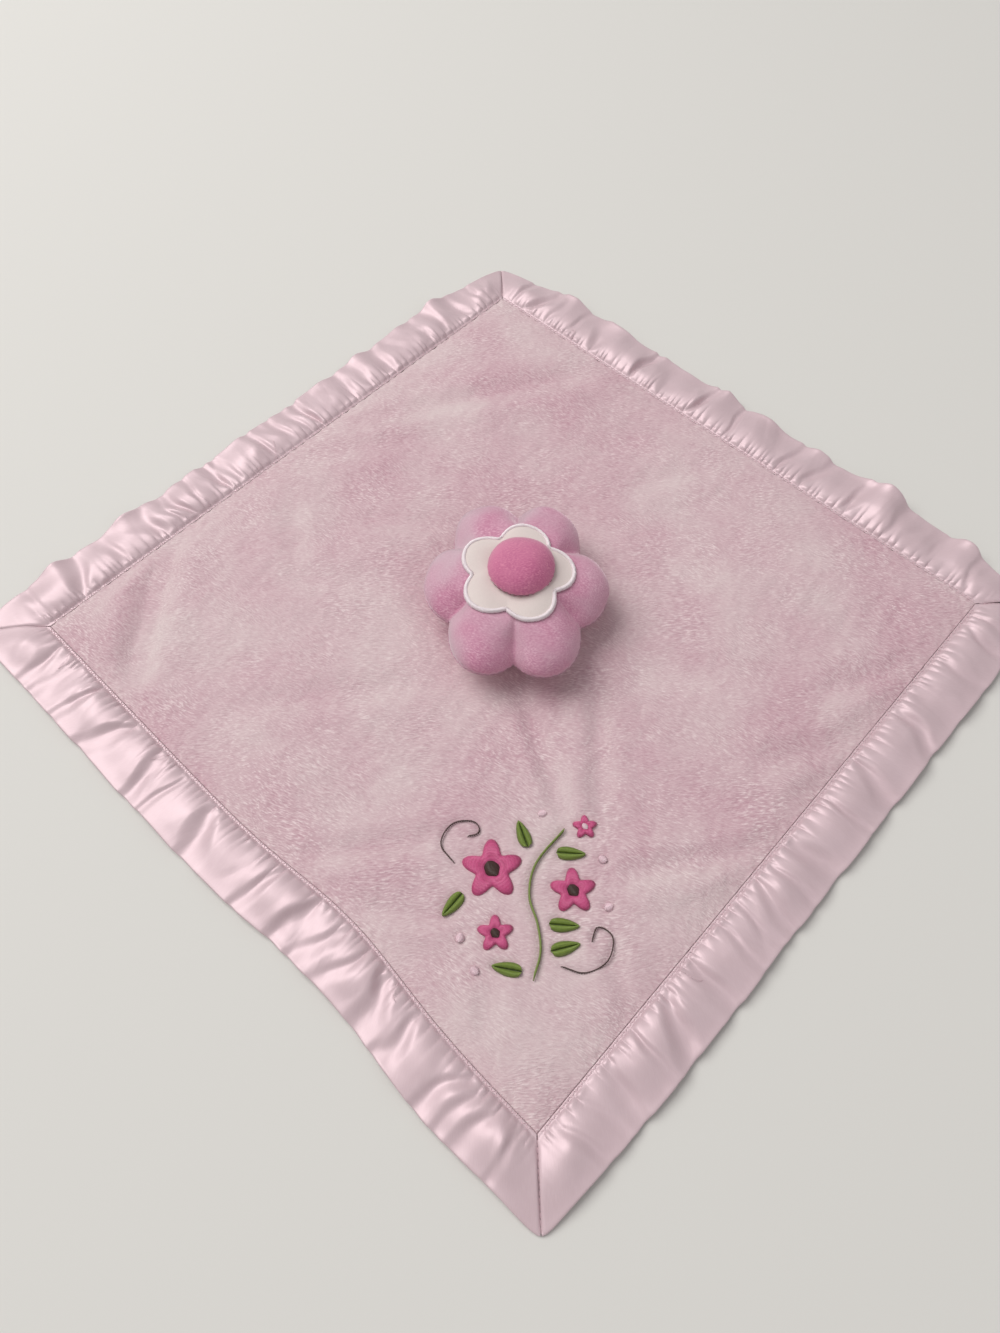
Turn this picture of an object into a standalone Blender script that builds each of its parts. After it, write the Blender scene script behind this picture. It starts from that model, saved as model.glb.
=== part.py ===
# Comfort blanket with a stuffed flower: a square plush blanket, edged with a folded satin trim
# and embroidered near one corner, with a soft flower sewn on its middle by a short thread shank.
# Metres, +Z up. The embroidered corner points to -Y. The origin is under the middle of the
# blanket, on the surface that it lies on.

import math

import bmesh
import bpy
from mathutils import Vector

# Blanket body
PLUSH_SIDE = 0.306          # side of the plush square that shows inside the satin
PLUSH_FRONT = 0.0026        # front ply with its pile
PLUSH_BACK = 0.0023         # back ply with its pile
PLY_AT_HEM = 0.0008         # each ply where the seam presses it flat
HEM_TUCK = 0.008            # how far the plies run inside the satin fold
TAPER = 0.015               # from the seam to where the plush has its full height
HEM_FLAT = 0.002            # pressed strip of plush just inside the seam
CLEARANCE = 0.0003          # gap kept between pieces that touch
OVERRUN = 0.002             # how far a cutter runs past what it cuts
WAVE_HEIGHT = 0.0012        # highest of the broad waves in the front ply
CENTRE_DISC = 0.012         # level disc of plush under the flower's shank

# Satin trim
SATIN = 0.0004              # satin thickness
TRIM_WIDTH = 0.0265         # visible satin along a side
TRIM_CORNER_WIDTH = 0.0205  # visible satin, measured the same way, at a mitred corner
STITCH_INSET = 0.0019       # seam line, from the satin's inner edge
RIDGE_HEIGHT = 0.0042       # tallest gathered ridge over the flat satin
LIFT_HEIGHT = 0.0095        # highest rise of the outer edge off the surface
FOLD_DEPTH = 0.0016         # height of the folded edge where it lies flat
BOW_DEPTH = 0.006           # how far the near left side is drawn in
BOW_REACH = 0.045           # half length of that drawn-in stretch

# Threads
SEAM_THREAD = 0.0005        # thickness of the trim's seam thread
SEAM_STITCH = 0.006         # one stitch of it, to and fro
SEAM_SWING = 0.0007         # how far it swings to each side
MITRE_THREAD = 0.0006

# Embroidery, a sprig of flowers
SPRIG_Y = -0.133            # its middle, from the middle of the blanket
SPRIG_HALF = 0.0345         # half of its width
SPRIG_RELIEF = 0.0008       # how far the satin stitch stands up
STEM_THREAD = 0.0016
TENDRIL_THREAD = 0.0010
BACKING = 0.0004            # non-woven sheet behind the embroidery
BACKING_SIDE_MARGIN = 0.0055   # of that sheet, beyond the sprig on either side
BACKING_END_MARGIN = 0.0015    # and beyond its top and bottom

# Stuffed flower
FLOWER_X = 0.0
FLOWER_Y = 0.0028
FLOWER_WIDTH = 0.0836       # of the oval that the petals' ends touch, from side to side
FLOWER_DEPTH = 0.0979       # and from front to back
PETALS = 6
PETAL_RADIUS = 0.0168       # round end of each petal
PETAL_TOP = 0.0302          # top of the flower over the plush
PETAL_SEAM = 0.0151         # side seam over the plush
COVER = 0.0010              # velour cover with its pile
GROOVE = 0.0056             # depth of the grooves between the petals
SWELL_POWER = 4.6           # of the top's curve: the higher, the flatter its middle
ROUND_SHARE = 0.1           # of the top's swell that falls off evenly from the middle
PETAL_THREAD = 0.0006
FLOWER_TURN = math.radians(-4)

# Shank that the flower is sewn on by
TIP_RANGE = math.radians(6)
PIVOT_HEIGHT = 0.0022       # middle of the shank over the plush
SHANK_RADIUS = 0.0018
SHANK_WRAP = 0.0010         # thickness of each turn wound round the shank
KNOT_RADIUS = 0.0040
KNOT_HEIGHT = 0.0008
UNDERSIDE_RISE = 0.0005     # underside of the flower over the plush, carried in to the middle
TIP_MARGIN_SHARE = 1.15     # slope of that underside, against what the tips need

# White applique and pink centre
APPLIQUE_RADIUS = 0.026
APPLIQUE_PETALS = 5
APPLIQUE_PETAL_RADIUS = 0.0112
APPLIQUE = 0.0008
APPLIQUE_TURN = math.radians(2.4)
APPLIQUE_FORWARD = 0.0010   # its middle, in front of the flower's own
EDGE_STITCH = 0.0012
CENTRE_DIAMETER = 0.030
CENTRE_HEIGHT = 0.0102
CENTRE_RIGHT = 0.0022       # middle of the ball, right of the flower's own
CENTRE_COVER = 0.0009
CENTRE_THREAD = 0.0006

# Gathered folds of each side, from its first corner to its next, anticlockwise from the left one.
# Each is its place along the side, the height of its ridge and the lift of the edge below it.
FOLD_SHARES = {
    "near_left": (
        (-0.86, 0.5, 0.05), (-0.69, 0.6, 0.10), (-0.53, 0.7, 0.10), (-0.29, 0.9, 0.12),
        (-0.03, 0.7, 0.10), (0.15, 0.6, 0.10), (0.33, 0.9, 0.14), (0.55, 0.8, 0.12),
        (0.70, 0.6, 0.10), (0.84, 0.5, 0.05),
    ),
    "near_right": (
        (-0.75, 0.5, 0.05), (-0.51, 0.7, 0.10), (-0.36, 0.7, 0.10), (-0.21, 0.8, 0.12),
        (-0.07, 0.6, 0.10), (0.13, 0.8, 0.12), (0.39, 0.9, 0.12), (0.60, 0.7, 0.12),
        (0.72, 0.6, 0.10), (0.85, 0.5, 0.08),
    ),
    "far_right": (
        (-0.88, 0.7, 0.50), (-0.56, 0.9, 1.00), (-0.31, 0.6, 0.35), (-0.10, 0.6, 0.35),
        (0.08, 0.7, 0.45), (0.22, 0.5, 0.12), (0.36, 0.5, 0.15), (0.56, 0.7, 0.45),
        (0.80, 0.8, 0.50),
    ),
    "far_left": (
        (-0.80, 0.8, 0.50), (-0.58, 0.6, 0.12), (-0.39, 0.5, 0.10), (-0.25, 0.6, 0.20),
        (-0.05, 0.6, 0.12), (0.14, 0.6, 0.20), (0.33, 0.6, 0.10), (0.59, 0.9, 0.55),
        (0.73, 0.5, 0.15), (0.87, 0.7, 0.45),
    ),
}
OUTWARD_DEGREES = {"near_left": 225, "near_right": 315, "far_right": 45, "far_left": 135}
CORNER_SHARE = 0.16         # of half a side, in which the satin widens from its mitre
BOWED_SIDE = "near_left"
BOW_SHARE = 0.36
CORNERS = {"near": "near_left", "right": "near_right", "far": "far_right", "left": "far_left"}

# Broad waves of the front ply: middle across and along, then reach across and along, all of the
# half diagonal of the plush, then height.
WAVE_SHARES = (
    (-0.55, 0.04, 0.30, 0.30, 1.0),
    (0.58, 0.10, 0.28, 0.30, 0.8),
    (0.02, 0.60, 0.40, 0.25, 0.9),
    (-0.47, -0.33, 0.17, 0.17, 0.7),
    (0.48, -0.33, 0.17, 0.16, 0.8),
)

# The sprig: places across and along from its middle, and sizes, all of its half width.
STEM_SHARES = ((0.02, -0.92), (0.12, -0.62), (0.10, -0.30), (0.02, 0.02), (0.12, 0.40), (0.48, 0.80))
BLOSSOM_SHARES = {
    "large": (-0.40, 0.34, 0.36),
    "middle": (0.53, 0.06, 0.27),
    "small": (-0.38, -0.40, 0.21),
    "bud": (0.72, 0.82, 0.15),
}
LEAF_SHARES = (
    (0.40, -0.58, 12), (-0.26, -0.79, 168), (0.40, -0.33, -6),
    (0.53, 0.50, -6), (-0.02, 0.75, 108), (-0.86, -0.06, 228),
)
LEAF_LENGTH_SHARE = 0.34
LEAF_WIDTH_SHARE = 0.15
TENDRIL_SHARES = {
    "upper": ((-0.84, 0.42), (-1.00, 0.66), (-0.86, 0.90), (-0.60, 0.92), (-0.54, 0.78), (-0.68, 0.74)),
    "lower": ((0.34, -0.78), (0.60, -0.86), (0.86, -0.74), (0.94, -0.48), (0.78, -0.36), (0.70, -0.52)),
}
SEED_SHARES = ((0.90, 0.42), (0.92, -0.14), (-0.78, -0.44), (-0.62, -0.80), (0.22, 1.00))
SEED_SIZE_SHARE = 0.050

# Levels over the surface, worked out from the pieces that lie on each other
BACK_HEM_LOW = SATIN + CLEARANCE
BACK_HEM_TOP = BACK_HEM_LOW + PLY_AT_HEM
FRONT_HEM_LOW = BACK_HEM_TOP + CLEARANCE
FRONT_HEM_TOP = FRONT_HEM_LOW + PLY_AT_HEM
UPPER_SATIN = FRONT_HEM_TOP + CLEARANCE + SATIN / 2
FRONT_LOW = PLUSH_BACK + CLEARANCE
PLUSH_TOP = FRONT_LOW + PLUSH_FRONT
PIVOT_Z = PLUSH_TOP + PIVOT_HEIGHT
HALF_DIAGONAL = PLUSH_SIDE / math.sqrt(2)
BACKING_WIDTH = 2 * (SPRIG_HALF + BACKING_SIDE_MARGIN)
BACKING_LENGTH = 2 * (SPRIG_HALF + BACKING_END_MARGIN)

# Sizes of the flower, with heights over its pivot
SEAM_UP = PETAL_SEAM - PIVOT_HEIGHT
SWELL = PETAL_TOP - PETAL_SEAM
MOUTH_UP = UNDERSIDE_RISE - PIVOT_HEIGHT
DIAGONAL_TIP = math.acos(math.cos(TIP_RANGE) ** 2)
STRETCH = FLOWER_DEPTH / FLOWER_WIDTH
UNDER_SLOPE = math.tan(DIAGONAL_TIP) * TIP_MARGIN_SHARE * max(STRETCH, 1)
INNER_WRAP_RADIUS = SHANK_RADIUS + CLEARANCE + SHANK_WRAP / 2
OUTER_WRAP_RADIUS = INNER_WRAP_RADIUS + SHANK_WRAP + CLEARANCE
DIMPLE = OUTER_WRAP_RADIUS + SHANK_WRAP / 2 + CLEARANCE

# Counts
SIDE_STEPS = 10
PETAL_STEPS = 8
TURNED_STEPS = 24
TUBE_BEVEL = 0              # gives a tube four sides

# Rows of the flower's top and underside, as shares of the way out
TOP_SHARES = (0.30, 0.52, 0.70, 0.84, 0.94)
UNDER_SHARES = (0.94, 0.78, 0.55, 0.32)


def clear_scene():
    for old in list(bpy.data.objects):
        bpy.data.objects.remove(old)


def material(name, colour, roughness):
    made = bpy.data.materials.new(name)
    made.use_nodes = True
    shader = made.node_tree.nodes["Principled BSDF"]
    shader.inputs["Base Color"].default_value = (*colour, 1)
    shader.inputs["Roughness"].default_value = roughness
    shader.inputs["Metallic"].default_value = 0
    made.diffuse_color = (*colour, 1)
    return made


def place(name, data, finish, parent=None):
    made = bpy.data.objects.new(name, data)
    bpy.context.scene.collection.objects.link(made)
    data.materials.append(finish)
    made.parent = parent
    return made


def mesh_of(name, shape):
    bmesh.ops.recalc_face_normals(shape, faces=shape.faces)
    made = bpy.data.meshes.new(name)
    shape.to_mesh(made)
    shape.free()
    made.shade_smooth()
    made.set_sharp_from_angle(angle=math.radians(40))
    return made


def bridge(shape, first, second):
    """Faces between two closed rows of vertices; a row of one vertex is a pole."""
    steps = max(len(first), len(second))
    for i in range(steps):
        after = (i + 1) % steps
        corners = [first[i % len(first)], first[after % len(first)]]
        corners += [second[after % len(second)], second[i % len(second)]]
        shape.faces.new(list(dict.fromkeys(corners)))


def lofted(name, loops, finish, parent=None):
    """A closed solid through closed rows of points. An end row of more than one point is capped."""
    shape = bmesh.new()
    rows = [[shape.verts.new(point) for point in loop] for loop in loops]
    for first, second in zip(rows, rows[1:]):
        bridge(shape, first, second)
    for end in (rows[0], rows[-1]):
        if len(end) > 1:
            shape.faces.new(end)
    return place(name, mesh_of(name, shape), finish, parent)


def round_angles(steps, turn=0):
    return [turn + math.tau * i / steps for i in range(steps)]


def turned_loops(profile, steps=TURNED_STEPS, centre=(0, 0, 0), turn=0):
    """Rows of points for a turned solid; a profile point on the axis is a pole."""
    middle = Vector(centre)
    loops = []
    for radius, height in profile:
        angles = round_angles(steps, turn) if radius else [0]
        loops.append([middle + Vector((radius * math.cos(a), radius * math.sin(a), height)) for a in angles])
    return loops


def slab(name, outer, inner, finish):
    """A sheet between two grids of points, closed round its four edges."""
    shape = bmesh.new()
    outside = [[shape.verts.new(point) for point in row] for row in outer]
    inside = [[shape.verts.new(point) for point in row] for row in inner]
    for grid in (outside, inside):
        for row, later in zip(grid, grid[1:]):
            for i in range(len(row) - 1):
                shape.faces.new((row[i], row[i + 1], later[i + 1], later[i]))
    edges = [(outside[0], inside[0]), (outside[-1], inside[-1])]
    edges += [([row[k] for row in outside], [row[k] for row in inside]) for k in (0, -1)]
    for near, far in edges:
        for i in range(len(near) - 1):
            shape.faces.new((near[i], near[i + 1], far[i + 1], far[i]))
    return place(name, mesh_of(name, shape), finish)


def tube(name, points, thickness, finish, closed=False, parent=None):
    data = bpy.data.curves.new(name, "CURVE")
    data.dimensions = "3D"
    data.bevel_depth = thickness / 2
    data.bevel_resolution = TUBE_BEVEL
    data.use_fill_caps = not closed
    line = data.splines.new("POLY")
    line.points.add(len(points) - 1)
    for spot, point in zip(line.points, points):
        spot.co = (*point, 1)
    line.use_cyclic_u = closed
    return place(name, data, finish, parent)


def smooth_line(points, steps):
    """Points on one smooth curve through the given ones, steps to each stretch."""
    spots = [Vector(point) for point in points]
    spots = [2 * spots[0] - spots[1], *spots, 2 * spots[-1] - spots[-2]]
    line = []
    for a, b, c, d in zip(spots, spots[1:], spots[2:], spots[3:]):
        for i in range(steps):
            t = i / steps
            line.append((2 * b + (c - a) * t + (2 * a - 5 * b + 4 * c - d) * t**2
                         + (3 * b - a - 3 * c + d) * t**3) / 2)
    line.append(spots[-2])
    return line


def ease(value):
    held = min(max(value, 0), 1)
    return held * held * (3 - 2 * held)


# Blanket outline
def hem_point(side, share, out, up):
    """A point on a side: share along it from corner to corner, out from the seam, up from the surface.
    A share of 1 or -1 lies on the mitre line at every distance out."""
    angle = math.radians(OUTWARD_DEGREES[side])
    outward = Vector((math.cos(angle), math.sin(angle), 0))
    along = Vector((-math.sin(angle), math.cos(angle), 0))
    reach = PLUSH_SIDE / 2 + out
    bow = 0
    if side == BOWED_SIDE:
        away = (share - BOW_SHARE) * PLUSH_SIDE / 2 / BOW_REACH
        bow = BOW_DEPTH * math.exp(-away * away) * (1 - share * share)
    return outward * (reach - bow) + along * share * (reach - CLEARANCE) + Vector((0, 0, up))


def plush_row(out, up):
    """One closed row round the blanket, at one distance from the seam."""
    row = []
    for side in FOLD_SHARES:
        row += [hem_point(side, -1 + 2 * i / SIDE_STEPS, out, up) for i in range(SIDE_STEPS)]
    return row


def wave(point):
    height = 0
    for across, along, reach_across, reach_along, share in WAVE_SHARES:
        x = (point.x / HALF_DIAGONAL - across) / reach_across
        y = (point.y / HALF_DIAGONAL - along) / reach_along
        height += share * max(0, 1 - x * x - y * y) ** 2
    return height * WAVE_HEIGHT


def inner_row(share, up):
    """A row between the level disc in the middle, at share 0, and the full-height square, at 1."""
    row = []
    for point in plush_row(-TAPER, up):
        flat = Vector((point.x, point.y, 0))
        spot = flat.normalized() * CENTRE_DISC * (1 - share) + flat * share
        row.append(Vector((spot.x, spot.y, up + wave(spot))))
    return row


def plush_panels():
    front = material("front_plush", (0.73, 0.50, 0.56), 0.95)
    back = material("back_plush", (0.73, 0.50, 0.56), 0.95)
    top = [inner_row(share, PLUSH_TOP) for share in (0, 0.16, 0.33, 0.50, 0.67, 0.84)]
    edge = [
        inner_row(1, PLUSH_TOP),
        plush_row(-HEM_FLAT, FRONT_HEM_TOP),
        plush_row(HEM_TUCK, FRONT_HEM_TOP),
        plush_row(HEM_TUCK, FRONT_HEM_LOW),
        plush_row(-HEM_FLAT, FRONT_HEM_LOW),
        plush_row(-TAPER, FRONT_LOW),
    ]
    face = lofted("plush_front_panel", top + edge, front)
    cut(face, "shank_hole_cutter", turned_loops(
        (
            (0, FRONT_LOW - OVERRUN),
            (KNOT_RADIUS + CLEARANCE, FRONT_LOW - OVERRUN),
            (KNOT_RADIUS + CLEARANCE, FRONT_LOW + KNOT_HEIGHT + CLEARANCE),
            (SHANK_RADIUS + CLEARANCE, FRONT_LOW + KNOT_HEIGHT + CLEARANCE),
            (SHANK_RADIUS + CLEARANCE, PLUSH_TOP + OVERRUN),
            (0, PLUSH_TOP + OVERRUN),
        ),
        centre=(FLOWER_X, FLOWER_Y, 0),
    ))
    cut(face, "backing_pocket_cutter", backing_loops(CLEARANCE, FRONT_HEM_LOW - OVERRUN,
                                                     FRONT_LOW + BACKING + CLEARANCE))
    lofted(
        "plush_back_panel",
        [
            plush_row(-TAPER, PLUSH_BACK),
            plush_row(-HEM_FLAT, BACK_HEM_TOP),
            plush_row(HEM_TUCK, BACK_HEM_TOP),
            plush_row(HEM_TUCK, BACK_HEM_LOW),
            plush_row(-HEM_FLAT, BACK_HEM_LOW),
            plush_row(-HEM_FLAT - PLUSH_BACK, 0),
        ],
        back,
    )


def cut(target, name, loops):
    cutter = lofted(name, loops, target.data.materials[0])
    cutter.hide_render = True
    cutter.display_type = "WIRE"
    hole = target.modifiers.new(name, "BOOLEAN")
    hole.operation = "DIFFERENCE"
    hole.object = cutter


def backing_loops(margin, low, high):
    half_width = BACKING_WIDTH / 2 + margin
    half_length = BACKING_LENGTH / 2 + margin
    corners = ((-1, -1), (1, -1), (1, 1), (-1, 1))
    return [
        [Vector((x * half_width, SPRIG_Y + y * half_length, z)) for x, y in corners] for z in (low, high)
    ]


# Satin trim
def trim_width(share):
    full = ease((1 - abs(share)) / CORNER_SHARE)
    return TRIM_CORNER_WIDTH + (TRIM_WIDTH - TRIM_CORNER_WIDTH) * full


def trim_stations(side):
    """Places along a side: each ridge, each valley between two, and one place on each slope."""
    ridges = [place_share for place_share, _, _ in FOLD_SHARES[side]]
    turns = [-1]
    for first, second in zip(ridges, ridges[1:]):
        turns += [first, (first + second) / 2]
    turns += [ridges[-1], 1]
    stations = []
    for first, second in zip(turns, turns[1:]):
        stations += [first, (first + second) / 2]
    return [*stations, 1]


def fold_heights(side, share):
    """Heights of the ridge and of the lifted edge at one place along a side."""
    folds = FOLD_SHARES[side]
    places = [-1, *(fold[0] for fold in folds), 1]
    for i, (place_share, ridge, lift) in enumerate(folds, 1):
        nearer = places[i - 1] if share < place_share else places[i + 1]
        reach = abs(nearer - place_share) / (1 if abs(nearer) == 1 else 2)
        away = abs(share - place_share) / reach
        if away < 1:
            swell = ease(1 - away)
            return ridge * swell * RIDGE_HEIGHT, lift * swell * LIFT_HEIGHT
    return 0, 0


def trim_section(side, share):
    """The satin's middle line from its upper inner edge round the fold to its lower inner edge:
    distance out, height, and the way its outer face looks."""
    width = trim_width(share)
    ridge, lift = fold_heights(side, share)
    low = SATIN / 2
    fold = low + FOLD_DEPTH
    return (
        (0, UPPER_SATIN, "up"),
        (STITCH_INSET * 2, UPPER_SATIN, "up"),
        (width * 0.50, UPPER_SATIN + 0.8 * ridge + 0.3 * lift, "up"),
        (width * 0.85, fold + ridge + 0.9 * lift, "up"),
        (width, low + FOLD_DEPTH / 2 + 0.4 * ridge + lift, "out"),
        (width * 0.85, low + 0.8 * lift, "down"),
        (HEM_TUCK + SATIN, low, "down"),
        (0, low, "down"),
    )


def satin_trims():
    satin = material("satin", (0.83, 0.60, 0.64), 0.35)
    for side in FOLD_SHARES:
        outer, inner = [], []
        for share in trim_stations(side):
            faces = [satin_faces(*point) for point in trim_section(side, share)]
            outer.append([hem_point(side, share, *face[0]) for face in faces])
            inner.append([hem_point(side, share, *face[1]) for face in faces])
        slab(f"satin_trim_{side}", outer, inner, satin)


def satin_faces(out, up, way):
    """The satin's outer and inner face at a point of its middle line."""
    if way == "out":
        return (out, up), (out - SATIN, up)
    step = SATIN / 2 if way == "up" else -SATIN / 2
    return (out, up + step), (out, up - step)


def seam_threads():
    """Threads laid on the satin: a zigzag along each side and a line over each mitre."""
    thread = material("seam_thread", (0.80, 0.55, 0.60), 0.6)
    lie = UPPER_SATIN + SATIN / 2 + CLEARANCE + SEAM_THREAD / 2
    steps = 2 * round(PLUSH_SIDE / SEAM_STITCH)
    last_share = 1 - 2 * (STITCH_INSET + SEAM_THREAD) / PLUSH_SIDE
    for side in FOLD_SHARES:
        points = []
        for i in range(steps + 1):
            swing = SEAM_SWING * (1 if i % 2 else -1)
            points.append(hem_point(side, last_share * (2 * i / steps - 1), STITCH_INSET + swing, lie))
        tube(f"trim_seam_thread_{side}", points, SEAM_THREAD, thread)
    for corner, side in CORNERS.items():
        points = []
        section = trim_section(side, 1)
        rise = SATIN / 2 + CLEARANCE + MITRE_THREAD / 2
        for (out, up, _), (next_out, next_up, _) in zip(section[1:3], section[2:4]):
            points += [(out + (next_out - out) * t, up + (next_up - up) * t + rise) for t in (0, 0.5)]
        out, up, _ = section[3]
        points.append((out, up + rise))
        line = [hem_point(side, 1, out, up) for out, up in points]
        tube(f"mitre_thread_{corner}", line, MITRE_THREAD, thread)


# Embroidery
def sprig_point(across, along, up):
    return Vector((across * SPRIG_HALF, SPRIG_Y + along * SPRIG_HALF, up))


def raised_patch(name, outline, finish, low, relief=SPRIG_RELIEF):
    """Satin stitch in low relief: a patch with a soft shoulder."""
    middle = sum(outline, Vector((0, 0, 0))) / len(outline)
    loops = []
    for share, up in ((1, 0), (1, 0.55), (0.72, 1)):
        row = [middle + (point - middle) * share for point in outline]
        loops.append([Vector((p.x, p.y, low + up * relief)) for p in row])
    return lofted(name, loops, finish)


def embroidery():
    pink = material("pink_thread", (0.55, 0.10, 0.25), 0.45)
    green = material("green_thread", (0.16, 0.23, 0.04), 0.45)
    pale = material("pale_thread", (0.85, 0.72, 0.76), 0.45)
    brown = material("brown_thread", (0.05, 0.02, 0.02), 0.45)
    base = PLUSH_TOP + CLEARANCE
    stem = [sprig_point(x, y, base + STEM_THREAD / 2) for x, y in STEM_SHARES]
    tube("sprig_stem", smooth_line(stem, 4), STEM_THREAD, green)
    for name, spots in TENDRIL_SHARES.items():
        line = [sprig_point(x, y, base + TENDRIL_THREAD / 2) for x, y in spots]
        tube(f"sprig_tendril_{name}", smooth_line(line, 4), TENDRIL_THREAD, brown)
    for number, (x, y, degrees) in enumerate(LEAF_SHARES, 1):
        turn = math.radians(degrees)
        outline = []
        for i in range(10):
            a = math.tau * i / 10
            length = LEAF_LENGTH_SHARE / 2 * math.cos(a)
            width = LEAF_WIDTH_SHARE / 2 * math.sin(a) * (1 - 0.3 * math.cos(a))
            outline.append(sprig_point(
                x + length * math.cos(turn) - width * math.sin(turn),
                y + length * math.sin(turn) + width * math.cos(turn),
                0,
            ))
        raised_patch(f"sprig_leaf_{number}", outline, green, base)
    for name, (x, y, radius) in BLOSSOM_SHARES.items():
        outline = []
        for i in range(25):
            a = math.tau * i / 25
            reach = radius * (0.80 + 0.20 * math.cos(5 * a))
            outline.append(sprig_point(x + reach * math.sin(a), y + reach * math.cos(a), 0))
        raised_patch(f"sprig_blossom_{name}", outline, pink, base)
        eye_radius = radius * 0.30 * SPRIG_HALF
        eye_low = base + SPRIG_RELIEF + CLEARANCE
        spot = sprig_point(x, y, eye_low)
        profile = ((0, 0), (eye_radius, 0), (eye_radius * 0.75, SPRIG_RELIEF * 0.8), (0, SPRIG_RELIEF))
        lofted(f"sprig_eye_{name}", turned_loops(profile, 10, spot), brown if name != "bud" else pale)
    for number, (x, y) in enumerate(SEED_SHARES, 1):
        radius = SEED_SIZE_SHARE * SPRIG_HALF
        profile = ((0, 0), (radius, 0), (radius * 0.8, SPRIG_RELIEF * 0.8), (0, SPRIG_RELIEF))
        lofted(f"sprig_seed_{number}", turned_loops(profile, 10, sprig_point(x, y, base)), pale)
    backing = material("backing", (0.80, 0.80, 0.78), 0.9)
    lofted("embroidery_backing", backing_loops(0, FRONT_LOW, FRONT_LOW + BACKING), backing)


# Stuffed flower, in heights over its pivot
def petal_away(angle):
    """Angle from the middle of the nearest petal."""
    part = math.tau / PETALS
    return abs((angle - FLOWER_TURN + part / 2) % part - part / 2)


def petal_reach(angle, inset=0):
    """Outline of the flower: round petal ends that run into one another. Its rows are stretched
    afterwards to the depth of the flower."""
    middle = FLOWER_WIDTH / 2 - PETAL_RADIUS
    radius = PETAL_RADIUS - inset
    away = petal_away(angle)
    across = middle * math.sin(away)
    return middle * math.cos(away) + math.sqrt(max(radius**2 - across**2, 0))


def dome_height_share(share):
    """Height of the rounded top of the petals at a share of the way out."""
    return (1 - ROUND_SHARE) * math.sqrt(1 - share**SWELL_POWER) + ROUND_SHARE * (1 - share**2)


def flower_top_row(share, inset):
    """A row of the domed top at a share of the way out, drawn in by inset."""
    row = []
    dome = dome_height_share(share)
    for angle in round_angles(PETALS * PETAL_STEPS, FLOWER_TURN):
        reach = petal_reach(angle, inset)
        valley = (petal_away(angle) * PETALS / math.pi) ** 2
        groove = GROOVE * valley * ease((share - 0.35) / 0.40) * dome
        up = SEAM_UP + (SWELL - inset) * dome - groove
        row.append(Vector((reach * share * math.cos(angle), reach * share * math.sin(angle) * STRETCH, up)))
    return row


def flower_under_row(share, inset):
    row = []
    for angle in round_angles(PETALS * PETAL_STEPS, FLOWER_TURN):
        reach = petal_reach(angle, inset)
        low = MOUTH_UP + UNDER_SLOPE * reach * share
        up = low + (SEAM_UP - MOUTH_UP - UNDER_SLOPE * reach) * share**3.5
        row.append(Vector((reach * share * math.cos(angle), reach * share * math.sin(angle) * STRETCH,
                           up + inset * (1 - share**6))))
    return row


def dimple_rows(inset):
    """The hollow over the shank, from its mouth in the underside up to its pole."""
    radius = DIMPLE + inset
    mouth = MOUTH_UP + UNDER_SLOPE * DIMPLE + inset
    profile = [(radius, mouth)]
    for degrees in (0, 35, 65):
        a = math.radians(degrees)
        if radius * math.sin(a) > mouth:
            profile.append((radius * math.cos(a), radius * math.sin(a)))
    profile.append((0, radius))
    return turned_loops(profile, PETALS * PETAL_STEPS, turn=FLOWER_TURN)


def shifted(rows, up=0, right=0):
    return [[Vector(point) + Vector((right, 0, up)) for point in row] for row in rows]


def flower_body(pivot):
    velour = material("petal_velour", (0.58, 0.27, 0.42), 0.95)
    filling = material("stuffing", (0.85, 0.85, 0.83), 1)
    thread = material("petal_thread", (0.50, 0.22, 0.36), 0.7)
    half_gap = CLEARANCE / 2
    outer = [[Vector((0, 0, SEAM_UP + SWELL))]] + [flower_top_row(s, 0) for s in TOP_SHARES]
    inner = [flower_top_row(s, COVER) for s in reversed(TOP_SHARES)]
    inner.append([Vector((0, 0, SEAM_UP + SWELL - COVER))])
    rims = [flower_top_row(1, 0), flower_top_row(1, COVER)]
    lofted("flower_top_cover", shifted([*outer, *rims, *inner], half_gap), velour, pivot)

    outer = [*reversed(dimple_rows(0)), *(flower_under_row(s, 0) for s in reversed(UNDER_SHARES))]
    inner = [*(flower_under_row(s, COVER) for s in UNDER_SHARES), *dimple_rows(COVER)]
    rims = [flower_under_row(1, 0), flower_under_row(1, COVER)]
    lofted("flower_under_cover", shifted([*outer, *rims, *inner], -half_gap), velour, pivot)

    inset = COVER + CLEARANCE
    top = [[Vector((0, 0, SEAM_UP + SWELL - inset))]] + [flower_top_row(s, inset) for s in TOP_SHARES]
    under = [flower_under_row(s, inset) for s in UNDER_SHARES] + dimple_rows(inset)
    lofted("flower_stuffing", [*top, flower_top_row(1, inset), *under], filling, pivot)

    seam = []
    for angle in round_angles(PETALS * PETAL_STEPS, FLOWER_TURN):
        reach = petal_reach(angle) + CLEARANCE + PETAL_THREAD / 2
        seam.append((reach * math.cos(angle), reach * math.sin(angle) * STRETCH, SEAM_UP))
    tube("petal_seam_thread", seam, PETAL_THREAD, thread, closed=True, parent=pivot)


def applique_reach(angle):
    middle = APPLIQUE_RADIUS - APPLIQUE_PETAL_RADIUS
    part = math.tau / APPLIQUE_PETALS
    away = abs((angle - APPLIQUE_TURN + part / 2) % part - part / 2)
    across = middle * math.sin(away)
    return middle * math.cos(away) + math.sqrt(max(APPLIQUE_PETAL_RADIUS**2 - across**2, 0))


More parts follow.
